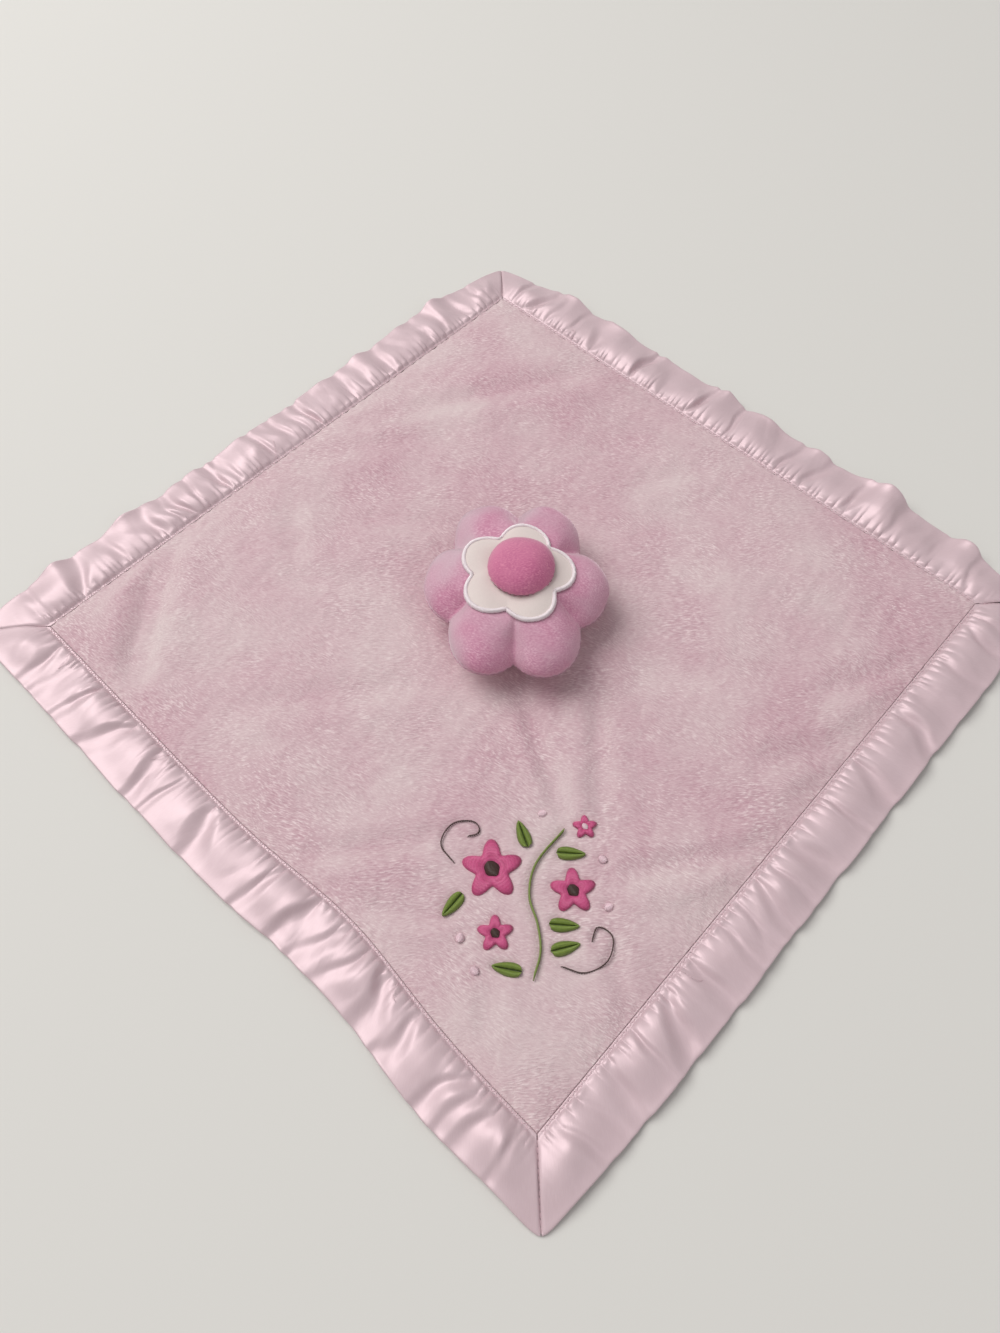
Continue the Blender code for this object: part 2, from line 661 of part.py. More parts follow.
def applique_point(radius, angle, lift):
    """The applique lies over the tops of the petals and bridges the grooves between them."""
    x = radius * math.cos(angle)
    y = radius * math.sin(angle) - APPLIQUE_FORWARD
    dome = dome_height_share(2 * math.hypot(x, y / STRETCH) / FLOWER_WIDTH)
    return Vector((x, y, SEAM_UP + SWELL * dome + CLEARANCE / 2 + CLEARANCE + lift))


def flower_centre(pivot):
    white = material("white_felt", (0.80, 0.76, 0.74), 0.95)
    edge = material("white_thread", (0.86, 0.82, 0.82), 0.5)
    pink = material("centre_velour", (0.50, 0.11, 0.26), 0.95)
    filling = material("centre_stuffing", (0.85, 0.85, 0.83), 1)
    angles = round_angles(APPLIQUE_PETALS * PETAL_STEPS, APPLIQUE_TURN)
    rows = {"top": [], "low": []}
    for share in (0, 0.55, 0.82, 1):
        spots = [(applique_reach(a) * share, a) for a in (angles if share else angles[:1])]
        for face, lift in (("top", APPLIQUE), ("low", 0)):
            rows[face].append([applique_point(r, a, lift) for r, a in spots])
    lofted("flower_applique", [*rows["low"], *reversed(rows["top"])], white, pivot)
    stitch_lift = APPLIQUE + CLEARANCE + EDGE_STITCH / 2
    border = [applique_point(applique_reach(a) - EDGE_STITCH / 2, a, stitch_lift) for a in angles]
    tube("applique_edge_stitching", border, EDGE_STITCH, edge, closed=True, parent=pivot)

    radius = CENTRE_DIAMETER / 2
    base = applique_point(0, 0, APPLIQUE + CLEARANCE).z
    cover = [*centre_profile(base, radius, CENTRE_HEIGHT),
             *reversed(centre_profile(base, radius - CENTRE_COVER, CENTRE_HEIGHT - CENTRE_COVER))]
    lofted("flower_centre_cover", shifted(turned_loops(cover), right=CENTRE_RIGHT), pink, pivot)
    inset = CENTRE_COVER + CLEARANCE
    stuffed = centre_profile(base, radius - inset, CENTRE_HEIGHT - inset)
    filled = shifted(turned_loops([*stuffed, (0, base)]), right=CENTRE_RIGHT)
    lofted("flower_centre_stuffing", filled, filling, pivot)
    ring = turned_loops([(radius + CLEARANCE + CENTRE_THREAD / 2, base + CENTRE_THREAD / 2)])
    ring = shifted(ring, right=CENTRE_RIGHT)[0]
    tube("centre_seam_thread", ring, CENTRE_THREAD, pink, closed=True, parent=pivot)


def centre_profile(base, radius, height):
    """Half of the ball's outline, from its pole down to its base."""
    profile = [(0, base + height)]
    for degrees in (68, 48, 30, 14, 0):
        a = math.radians(degrees)
        profile.append((radius * math.cos(a), base + height * math.sin(a)))
    return profile


# Thread shank between the blanket and the flower
def shank(pivot):
    thread = material("shank_thread", (0.75, 0.50, 0.56), 0.7)
    low = -PIVOT_HEIGHT - PLUSH_FRONT
    shoulder = SHANK_RADIUS / math.sqrt(2)
    core = (
        (0, low),
        (KNOT_RADIUS, low),
        (KNOT_RADIUS, low + KNOT_HEIGHT),
        (SHANK_RADIUS, low + KNOT_HEIGHT),
        (SHANK_RADIUS, 0),
        (shoulder, shoulder),
        (0, SHANK_RADIUS),
    )
    lofted("shank_core_thread", turned_loops(core, 12), thread, pivot)
    for name, radius in (("inner", INNER_WRAP_RADIUS), ("outer", OUTER_WRAP_RADIUS)):
        ring = turned_loops([(radius, 0)], 20)[0]
        tube(f"shank_{name}_wrap", ring, SHANK_WRAP, thread, closed=True, parent=pivot)


clear_scene()
flower_pivot = bpy.data.objects.new("flower_pivot", None)
flower_pivot.location = (FLOWER_X, FLOWER_Y, PIVOT_Z)
bpy.context.scene.collection.objects.link(flower_pivot)
plush_panels()
satin_trims()
seam_threads()
embroidery()
shank(flower_pivot)
flower_body(flower_pivot)
flower_centre(flower_pivot)
bpy.context.view_layer.update()
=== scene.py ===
"""A comfort blanket: plush square, gathered satin trim, embroidered sprig and a stuffed flower.

The sections follow the order in which such a blanket is sewn together.
"""

import math

import bmesh
import bpy
import numpy as np
from mathutils import Matrix, Vector


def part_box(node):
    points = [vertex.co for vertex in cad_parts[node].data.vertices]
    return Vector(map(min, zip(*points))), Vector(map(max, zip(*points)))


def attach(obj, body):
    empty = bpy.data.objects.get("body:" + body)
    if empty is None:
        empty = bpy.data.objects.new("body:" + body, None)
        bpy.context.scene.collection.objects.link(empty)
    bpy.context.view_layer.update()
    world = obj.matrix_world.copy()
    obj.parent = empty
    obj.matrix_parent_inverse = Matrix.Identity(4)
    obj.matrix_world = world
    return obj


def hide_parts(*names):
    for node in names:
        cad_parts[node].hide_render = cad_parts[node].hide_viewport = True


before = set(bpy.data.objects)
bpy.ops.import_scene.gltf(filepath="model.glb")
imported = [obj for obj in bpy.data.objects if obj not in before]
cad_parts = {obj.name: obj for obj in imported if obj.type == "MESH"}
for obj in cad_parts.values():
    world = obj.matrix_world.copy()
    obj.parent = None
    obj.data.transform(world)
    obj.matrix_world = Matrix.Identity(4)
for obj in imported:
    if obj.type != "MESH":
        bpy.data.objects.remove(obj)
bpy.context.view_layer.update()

# The back ply is a square of short-pile plush, cut 8 mm larger than it shows on every side so that
# the satin can grip it. It lies pile side down, and is pressed flat where the trim is sewn on.
plush_side = 0.306
hem_tuck = 0.008
ply_at_hem = 0.0008
satin_thickness = 0.0004
gap = 0.0003
half_side = plush_side / 2
bow_depth, bow_share, bow_reach = 0.006, 0.36, 0.045
outward_degrees = {"near_left": 225, "near_right": 315, "far_right": 45, "far_left": 135}

back_hem_low = satin_thickness + gap
back_hem_top = back_hem_low + ply_at_hem
back_ply_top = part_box("plush_back_panel")[1].z


def dye(red, green, blue):
    """A fabric's colour, given as it looks on a screen from 0 to 255, as shader values."""
    parts = [part / 255 for part in (red, green, blue)]
    return (*(p / 12.92 if p <= 0.04045 else ((p + 0.055) / 1.055) ** 2.4 for p in parts), 1)


def ease(value):
    held = np.clip(value, 0, 1)
    return held * held * (3 - 2 * held)


def mottle(x, y, size, seed, waves=24):
    """Soft random hills and dips about size across, between about -1 and 1."""
    draw = np.random.RandomState(seed)
    total = np.zeros(np.shape(x))
    for _ in range(waves):
        turn, phase = draw.uniform(0, math.tau, 2)
        pace = draw.uniform(0.6, 1.4) * math.pi / size
        total = total + np.sin((x * math.cos(turn) + y * math.sin(turn)) * pace + phase)
    return total / math.sqrt(waves)


def seam_bow(share):
    """How far the near left seam is drawn in."""
    away = (share - bow_share) * half_side / bow_reach
    return bow_depth * np.exp(-away * away) * (1 - share * share)


def hem_place(side, share, out, up):
    """Points on one side: share along it from corner to corner, out from the seam, up from the table."""
    angle = math.radians(outward_degrees[side])
    reach = half_side + out
    across = reach - (seam_bow(share) if side == "near_left" else 0)
    along = share * (reach - gap)
    x = math.cos(angle) * across - math.sin(angle) * along
    y = math.sin(angle) * across + math.cos(angle) * along
    return np.stack(np.broadcast_arrays(x, y, up), -1)


def ply_place(p, q):
    """Plan of a point of a ply, p towards the near left side and q towards the near right one."""
    drawn = p - seam_bow(q / half_side) * np.clip(p / half_side, 0, None) ** 3
    return (q - drawn) / math.sqrt(2), -(q + drawn) / math.sqrt(2)


def weave_faces(rows, columns, closed_rows=False, start=0):
    """Quads between neighbouring points of a grid that is stored row by row."""
    i = np.arange(rows - 1)[:, None] * columns
    j = np.arange(columns if closed_rows else columns - 1)[None, :]
    after = (j + 1) % columns
    return (np.stack([i + j, i + after, i + columns + after, i + columns + j], -1) + start).reshape(-1, 4)


def sew(name, points, faces, finish, body, replaced=(), thread_uv=None):
    """Makes one piece from its points and faces and lets it ride on its body."""
    cloth = bpy.data.meshes.new(name)
    cloth.from_pydata(np.asarray(points, float).reshape(-1, 3).tolist(), [], faces)
    if thread_uv is not None:
        layer = cloth.uv_layers.new(name="along_thread")
        layer.data.foreach_set("uv", np.asarray(thread_uv, np.float32).ravel())
    cloth.materials.append(finish)
    cloth.validate()
    shaped = bmesh.new()
    shaped.from_mesh(cloth)
    bmesh.ops.recalc_face_normals(shaped, faces=shaped.faces)
    shaped.to_mesh(cloth)
    shaped.free()
    cloth.shade_smooth()
    made = bpy.data.objects.new(name, cloth)
    bpy.context.scene.collection.objects.link(made)
    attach(made, body)
    if replaced:
        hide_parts(*replaced)
    return made


def node(tree, kind, inputs=None, **settings):
    """Adds a shader node. An input is a value, or an output of another node."""
    made = tree.nodes.new(kind)
    for key, value in settings.items():
        setattr(made, key, value)
    for key, value in (inputs or {}).items():
        if isinstance(value, bpy.types.NodeSocket):
            tree.links.new(value, made.inputs[key])
        else:
            made.inputs[key].default_value = value
    return made


def effect(name, inputs, outputs=("Tone", "Height")):
    """A shader node group with its sockets, ready for its nodes."""
    tree = bpy.data.node_groups.new(name, "ShaderNodeTree")
    for label, start in inputs.items():
        socket = tree.interface.new_socket(label, in_out="INPUT", socket_type="NodeSocketFloat")
        socket.default_value = start
    for label in outputs:
        tree.interface.new_socket(label, in_out="OUTPUT", socket_type="NodeSocketFloat")
    return tree, tree.nodes.new("NodeGroupInput").outputs, tree.nodes.new("NodeGroupOutput").inputs


def maths(tree, operation, *values):
    made = tree.nodes.new("ShaderNodeMath")
    made.operation = operation
    for socket, value in zip(made.inputs, values):
        if isinstance(value, bpy.types.NodeSocket):
            tree.links.new(value, socket)
        else:
            socket.default_value = value
    return made.outputs[0]


def between(tree, value, low, high):
    """0 where the value is low or less, and 1 where it is high or more."""
    return node(tree, "ShaderNodeMapRange", {"Value": value, "From Min": low, "From Max": high}).outputs[0]


def brushed_pile():
    """Short pile that lies nearly one way. Its tips catch the light as pale strokes in some places."""
    tree, given, out = effect(
        "brushed_pile", {"Clump": 0.02, "Streak": 0.003, "Fibre": 0.0009, "Patch": 0.05, "Grain": 1.0},
        ("Tone", "Paler", "Height"))
    place = node(tree, "ShaderNodeTexCoord").outputs["Object"]

    def cloud(size, detail, shift=0.0):
        moved = node(tree, "ShaderNodeVectorMath", {0: place, 1: (shift, -shift, shift)}, operation="ADD")
        return node(tree, "ShaderNodeTexNoise", {
            "Vector": moved.outputs[0], "Scale": maths(tree, "DIVIDE", 1, size), "Detail": detail}).outputs

    stir = cloud(given["Clump"], 2.0)["Color"]
    centred = node(tree, "ShaderNodeVectorMath", {0: stir, 1: (0.5, 0.5, 0.5)}, operation="SUBTRACT")
    push = node(tree, "ShaderNodeVectorMath", {
        0: centred.outputs[0], "Scale": maths(tree, "MULTIPLY", given["Clump"], 0.25)}, operation="SCALE")
    swirled = node(tree, "ShaderNodeVectorMath", {0: place, 1: push.outputs[0]}, operation="ADD").outputs[0]
    locks = []
    for lean in (-0.05, 0.50):
        turned = node(tree, "ShaderNodeVectorRotate", {"Vector": swirled, "Angle": lean},
                      rotation_type="Z_AXIS")
        parts = node(tree, "ShaderNodeSeparateXYZ", {0: turned.outputs[0]}).outputs
        hair = node(tree, "ShaderNodeCombineXYZ", {
            axis: maths(tree, "DIVIDE", parts[axis], given["Streak" if axis == "X" else "Fibre"])
            for axis in "XYZ"})
        lock = node(tree, "ShaderNodeTexNoise", {"Vector": hair.outputs[0], "Scale": 1.0, "Detail": 3.0})
        locks.append(lock.outputs["Fac"])
    way = between(tree, cloud(given["Patch"], 1.0, 0.31)["Fac"], 0.40, 0.60)
    pile = node(tree, "ShaderNodeMix", {"Factor": way, 2: locks[0], 3: locks[1]}).outputs[0]
    broad = between(tree, cloud(given["Patch"], 3.0, 0.07)["Fac"], 0.34, 0.66)
    small_patch = maths(tree, "MULTIPLY", given["Patch"], 0.45)
    brushed = between(tree, cloud(small_patch, 2.0, 0.19)["Fac"], 0.42, 0.66)
    strokes = between(tree, pile, 0.52, 0.70)
    raised = maths(tree, "MULTIPLY", strokes, maths(tree, "MULTIPLY_ADD", brushed, 0.80, 0.20))
    grain = maths(tree, "MULTIPLY_ADD", maths(tree, "SUBTRACT", pile, 0.5), given["Grain"], 0.24)
    soft = maths(tree, "MULTIPLY_ADD", broad, 0.20, grain)
    tone = maths(tree, "MULTIPLY_ADD", raised, 0.50, soft)
    tree.links.new(maths(tree, "MINIMUM", maths(tree, "MAXIMUM", tone, 0), 1), out["Tone"])
    tree.links.new(broad, out["Paler"])
    tree.links.new(pile, out["Height"])
    return tree


pile_effect = brushed_pile()
# Plan direction towards the key lamp: slopes of pile cloth that face it get a painted sheen.
sheen_paint_direction = (-0.80, 0.58, 0.0)


def finish_from(name, pattern_effect, scales, dark, light, depth, looks):
    """A material that takes its colour between dark and light, and its relief, from a pattern effect.
    The looks go to the inputs of its shader."""
    made = bpy.data.materials.new(name)
    made.use_nodes = True
    tree = made.node_tree
    shader = tree.nodes["Principled BSDF"].inputs
    pattern = node(tree, "ShaderNodeGroup", scales, node_tree=pattern_effect).outputs
    colour = node(tree, "ShaderNodeMix", {"Factor": pattern["Tone"], 6: dark, 7: light}, data_type="RGBA")
    bump = node(tree, "ShaderNodeBump", {"Height": pattern["Height"], "Distance": depth, "Strength": 1.0})
    tree.links.new(colour.outputs[2], shader["Base Color"])
    tree.links.new(bump.outputs[0], shader["Normal"])
    for label, value in looks.items():
        shader[label].default_value = value
    return made, pattern, colour.outputs[2]


def pile_cloth(name, dark, light, paler, sheen, depth, **scales):
    """Plush or velour: the pile effect with its own colours and scales, under a soft sheen. Slopes that
    face the upper left, towards the key lamp, are painted paler as a painted sheen, added to the pile's
    random pale patches."""
    looks = {"Roughness": 0.9, "Specular IOR Level": 0.2, "Sheen Weight": sheen, "Sheen Roughness": 0.35,
             "Sheen Tint": dye(244, 232, 236)}
    scales = {label.capitalize(): value for label, value in scales.items()}
    made, pile, colour = finish_from(name, pile_effect, scales, dark, light, depth, looks)
    tree = made.node_tree
    # Slopes that face the key lamp are mixed towards the paler colour: a painted sheen, on top of the
    # random pale patches.
    slope = node(tree, "ShaderNodeVectorMath", {
        0: node(tree, "ShaderNodeTexCoord").outputs["Normal"], 1: sheen_paint_direction}, operation="DOT_PRODUCT")
    painted_sheen = maths(tree, "MULTIPLY", maths(tree, "MAXIMUM", slope.outputs["Value"], 0), 0.80)
    share = maths(tree, "MULTIPLY_ADD", pile["Paler"], 0.34, painted_sheen)
    brushed = node(tree, "ShaderNodeMix", {
        "Factor": maths(tree, "MINIMUM", share, 1), 6: colour, 7: paler}, data_type="RGBA")
    tree.links.new(brushed.outputs[2], tree.nodes["Principled BSDF"].inputs["Base Color"])
    return made


plush = pile_cloth("pale_pink_plush", dye(195, 154, 166), dye(241, 219, 222), dye(218, 207, 204), 0.3,
                   clump=0.040, streak=0.0024, fibre=0.00055, patch=0.046, grain=1.5, depth=0.00034)


def ply_points(pitch, up, plain_hem, plain):
    """A closed ply: a fine face of that pitch with heights from up, its cut edge, and a plain face
    turned to the other ply, at the level plain_hem along the hem and plain inside it."""
    steps = round(2 * half_side / pitch)
    tuck = np.array([half_side + 0.00012, *np.linspace(half_side + 0.001, half_side + hem_tuck, 4)])
    brink = half_side - np.array([0.0008, 0.0004, 0])
    inner = np.linspace(-brink[0], brink[0], steps + 1)[1:-1]
    lines = np.concatenate([-tuck[::-1], -brink[::-1], inner, brink, tuck])
    count = len(lines)
    p, q = np.meshgrid(lines, lines, indexing="ij")
    x, y = ply_place(p, q)
    face = np.stack([x, y, up(p, q, x, y)], -1).reshape(-1, 3)
    faces = weave_faces(count, count).tolist()
    order = np.arange(count * count).reshape(count, count)
    walk = np.concatenate([order[0, :-1], order[:-1, -1], order[-1, :0:-1], order[:0:-1, 0]])
    edge_p, edge_q = p.ravel()[walk], q.ravel()[walk]
    full = half_side + hem_tuck
    rings = [face]
    for reach, level in ((full, plain_hem), (half_side - 0.002, plain_hem), (half_side - 0.010, plain),
                         (half_side * 0.6, plain), (half_side * 0.3, plain)):
        ring_x, ring_y = ply_place(edge_p * reach / full, edge_q * reach / full)
        rings.append(np.stack([ring_x, ring_y, np.full(len(walk), level)], -1))
    middle = len(face) + 5 * len(walk)
    rings.append(np.array([[0, 0, plain]]))
    belt = np.concatenate([walk, np.arange(len(face), middle)]).reshape(6, -1)
    for first, second in zip(belt, belt[1:]):
        faces += np.stack([first, second, np.roll(second, -1), np.roll(first, -1)], -1).tolist()
    last = belt[-1]
    faces += np.stack([last, np.full(len(last), middle), np.roll(last, -1)], -1).tolist()
    return np.concatenate(rings), faces


def back_face(p, q, x, y):
    inside = half_side - np.maximum(abs(p), abs(q))
    return back_hem_low * (1 - ease((inside - 0.001) / 0.003))


points, faces = ply_points(0.0030, back_face, back_hem_top, back_ply_top)
back_ply = sew("plush_back_ply", points, faces, plush, "blanket", ["plush_back_panel"])

# The backing is a stiff non-woven square that lies between the plies and keeps the embroidery flat.
# It is cut a little larger than the sprig and never shows.
backing_thickness, backing_unevenness = 0.0003, 0.00003


def loose_fibre():
    """Fibre that is tangled every way."""
    tree, given, out = effect("loose_fibre", {"Size": 0.0015})
    place = node(tree, "ShaderNodeTexCoord").outputs["Object"]
    stir = node(tree, "ShaderNodeTexNoise", {"Vector": place, "Scale": 140.0, "Detail": 3.0})
    mixed = node(tree, "ShaderNodeMix", {"Factor": 0.004, 4: place, 5: stir.outputs["Color"]},
                 data_type="VECTOR")
    tangle = node(tree, "ShaderNodeTexNoise", {
        "Vector": mixed.outputs[1], "Scale": maths(tree, "DIVIDE", 1, given["Size"]),
        "Detail": 4.0, "Roughness": 0.7, "Distortion": 1.5,
    })
    tree.links.new(tangle.outputs["Fac"], out["Tone"])
    tree.links.new(tangle.outputs["Fac"], out["Height"])
    return tree


fibre_effect = loose_fibre()


def fibre_fabric(name, dark, light, size, depth):
    """Felted or loose fibre: non-woven backing, stuffing, short felt."""
    looks = {"Roughness": 0.9, "Specular IOR Level": 0.25, "Sheen Weight": 0.15}
    return finish_from(name, fibre_effect, {"Size": size}, dark, light, depth, looks)[0]


def thin_sheet(mid, thickness):
    """Closed faces of a sheet whose middle is a grid of points, rows by columns."""
    rows, columns = mid.shape[:2]
    along = np.gradient(mid, axis=0)
    across = np.gradient(mid, axis=1)
    normal = np.cross(along, across)
    normal /= np.linalg.norm(normal, axis=-1, keepdims=True) + 1e-12
    half = np.broadcast_to(thickness, (rows, columns))[..., None] / 2
    points = np.concatenate([(mid + normal * half).reshape(-1, 3), (mid - normal * half).reshape(-1, 3)])
    count = rows * columns
    faces = np.concatenate([weave_faces(rows, columns), weave_faces(rows, columns, start=count)])
    order = np.arange(count).reshape(rows, columns)
    rims = []
    for line in (order[0], order[-1], order[:, 0], order[:, -1]):
        rims.append(np.stack([line[:-1], line[1:], line[1:] + count, line[:-1] + count], -1))
    return points, np.concatenate([faces, *rims]).tolist()


backing_low, backing_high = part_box("embroidery_backing")
backing_level = (backing_low.z + backing_high.z) / 2
backing_x, backing_y = np.meshgrid(
    np.linspace(backing_low.x, backing_high.x, 61), np.linspace(backing_low.y, backing_high.y, 55),
    indexing="ij")
backing_wave = mottle(backing_x, backing_y, 0.006, 3) * backing_unevenness
points, faces = thin_sheet(
    np.stack([backing_x, backing_y, backing_wave + backing_level], -1), backing_thickness)
backing = sew("embroidery_backing_sheet", points, faces,
              fibre_fabric("white_backing", dye(214, 214, 208), dye(240, 240, 236), 0.0008, 0.0002),
              "blanket", ["embroidery_backing"])

# The front ply is the same plush, pile side up. It lies in a few broad soft waves and creases, as a
# folded blanket does when it is spread out, and it is pressed down along the seam.
front_hem_low = back_hem_top + gap
front_hem_top = front_hem_low + ply_at_hem
front_low = back_ply_top + gap
plush_top = 0.0052
hem_spring = 0.0085
hem_lip = 0.00075
mm = 0.001
# Each crease: its two ends across and along, how high it stands and how far it reaches to a side.
soft_creases = (
    (-80, 122, -20, 137, 1.4, 7), (-20, 137, 42, 153, 2.2, 9), (40, 139, 88, 111, 1.2, 8),
    (-168, 44, -172, -28, 3.2, 9), (2, -44, 17, -98, 1.4, 5), (36, -38, 33, -100, 1.6, 6),
    (-95, -114, -36, -107, 1.6, 6), (43, -124, 110, -114, 1.9, 6), (-76, -135, -34, -139, 1.1, 5),
    (102, -78, 146, -69, 1.6, 7), (132, -46, 176, -32, 1.6, 7), (-120, -44, -48, -36, 1.1, 7),
    (-72, 58, -36, 50, 1.2, 6), (62, 76, 100, 84, 1.1, 7), (30, -152, 41, -184, 1.2, 5),
    (-15, -160, -17, -184, 0.9, 5), (-122, 20, -60, 22, 0.8, 8), (-110, 70, -104, 34, 0.9, 7),
    (108, 30, 150, 8, 0.9, 9), (60, -30, 118, -36, 0.8, 9), (-118, 96, -62, 108, 0.9, 8),
)
broad_waves = (
    (-0.55, 0.04, 0.30, 0.30, 1.0), (0.58, 0.10, 0.28, 0.30, 0.8), (0.02, 0.60, 0.40, 0.25, 0.9),
    (-0.47, -0.33, 0.17, 0.17, 0.7), (0.48, -0.33, 0.17, 0.16, 0.8),
)


def front_face(p, q, x, y):
    inside = half_side - np.maximum(abs(p), abs(q))
    risen = 1 - np.exp(-np.clip(inside - 0.0004, 0, None) / hem_spring)
    pile_edge = hem_lip + 0.00022 * mottle(x, y, 0.0022, 8, 40)
    lip = front_hem_top + pile_edge * (inside > -0.0001)
    up = lip + (plush_top - lip) * risen
    shape = np.zeros(x.shape)
    for across, along, reach_x, reach_y, share in broad_waves:
        from_x = (x / (half_side * math.sqrt(2)) - across) / reach_x
        from_y = (y / (half_side * math.sqrt(2)) - along) / reach_y
        shape += 1.2 * mm * share * np.clip(1 - from_x**2 - from_y**2, 0, None) ** 2
    for x0, y0, x1, y1, height, reach in soft_creases:
        run_x, run_y = (x1 - x0) * mm, (y1 - y0) * mm
        long = math.hypot(run_x, run_y)
        at = ((x - x0 * mm) * run_x + (y - y0 * mm) * run_y) / long**2
        off = ((x - x0 * mm) * run_y - (y - y0 * mm) * run_x) / long
        fade = ease((at + 0.25) / 0.4) * ease((1.25 - at) / 0.4)
        side = off / (1.45 * reach * mm)
        shape += height * mm * fade * np.exp(-side * side) * (1.9 * side * side - 0.55) * (1 + 0.35 * side)
    shape = np.maximum(shape, -1.1 * mm)
    shape += mottle(x, y, 0.030, 5) * 0.22 * mm
    clumps = mottle(x, y, 0.0055, 6) * 0.10 * mm + mottle(x, y, 0.0030, 7, 40) * 0.07 * mm
    return up + (shape + clumps) * ease(inside / 0.012)


points, faces = ply_points(0.0013, front_face, front_hem_low, front_low + 0.0009)
front_ply = sew("plush_front_ply", points, faces, plush, "blanket", ["plush_front_panel"])


def press_pile(spots, depth, reach):
    """Stitches press the pile down on and round these spots, given as plan points."""
    cloth = front_ply.data
    place = np.zeros(len(cloth.vertices) * 3)
    cloth.vertices.foreach_get("co", place)
    place = place.reshape(-1, 3)
    low, high = spots.min(0) - 3 * reach, spots.max(0) + 3 * reach
    near = np.all((place[:, :2] > low) & (place[:, :2] < high), 1) & (place[:, 2] > front_low + 0.0012)
    chosen = np.nonzero(near)[0]
    away = np.full(len(chosen), np.inf)
    for part in np.array_split(spots, max(1, len(spots) // 400)):
        gaps = np.hypot(*(place[chosen, None, :2] - part[None]).transpose(2, 0, 1))
        away = np.minimum(away, gaps.min(1))
    place[chosen, 2] -= depth * (1 - ease(away / reach))
    cloth.vertices.foreach_set("co", place.ravel())
    cloth.update()


# The sprig is machine embroidery in glossy rayon thread: leaves and blossoms in satin stitch, the
# stem and tendrils in short overlapping stitches. Every thread dives into the pile at its ends.
sprig_y, sprig_half = -0.133, 0.0345
sprig_low = plush_top + gap
sprig_relief = 0.0008
thread_pitch = 0.00036
stem_points = ((0.02, -0.92), (0.12, -0.62), (0.10, -0.30), (0.02, 0.02), (0.12, 0.40), (0.48, 0.80))
blossoms = {"large": (-0.40, 0.34, 0.36), "middle": (0.53, 0.06, 0.27), "small": (-0.38, -0.40, 0.21),
            "bud": (0.72, 0.82, 0.15)}
leaves = ((0.40, -0.58, 12), (-0.26, -0.79, 168), (0.40, -0.33, -6), (0.53, 0.50, -6), (-0.02, 0.75, 108),
          (-0.86, -0.06, 228))
leaf_length, leaf_width = 0.34, 0.15
tendrils = {
    "upper": ((-0.84, 0.42), (-1.00, 0.66), (-0.86, 0.90), (-0.60, 0.92), (-0.54, 0.78), (-0.68, 0.74)),
    "lower": ((0.34, -0.78), (0.60, -0.86), (0.86, -0.74), (0.94, -0.48), (0.78, -0.36), (0.70, -0.52)),
}
seeds = ((0.90, 0.42), (0.92, -0.14), (-0.78, -0.44), (-0.62, -0.80), (0.22, 1.00))
seed_size = 0.050
thick_thread, thread, thin_thread = 0.00024, 0.00021, 0.00019


def thread_twist():
    """Plies that wind round a thread."""
    tree, given, out = effect("thread_twist", {"Pitch": 0.0012, "Plies": 2.0})
    uv = node(tree, "ShaderNodeUVMap", uv_map="along_thread")
    parts = node(tree, "ShaderNodeSeparateXYZ", {0: uv.outputs[0]}).outputs
    turn = maths(tree, "ADD", maths(tree, "DIVIDE", parts["X"], given["Pitch"]),
                 maths(tree, "MULTIPLY", parts["Y"], given["Plies"]))
    wave = maths(tree, "SINE", maths(tree, "MULTIPLY", turn, math.tau))
    height = maths(tree, "MULTIPLY_ADD", wave, 0.5, 0.5)
    spot = node(tree, "ShaderNodeTexNoise", {
        "Vector": node(tree, "ShaderNodeTexCoord").outputs["Object"], "Scale": 1400.0, "Detail": 2.0})
    # The tone follows the height of the plies, so the grooves between them are painted darker and the
    # crests lighter: painted shade, with random spots.
    tone = maths(tree, "ADD", maths(tree, "MULTIPLY", height, 0.4),
                 maths(tree, "MULTIPLY", spot.outputs["Fac"], 0.6))
    tree.links.new(tone, out["Tone"])
    tree.links.new(height, out["Height"])
    return tree


twist_effect = thread_twist()


def thread_stuff(name, dark, light, roughness=0.38):
    """Twisted thread, glossy for embroidery and duller for sewing."""
    looks = {"Roughness": roughness, "Sheen Weight": 0.1}
    return finish_from(name, twist_effect, {}, dark, light, 0.00004, looks)[0]


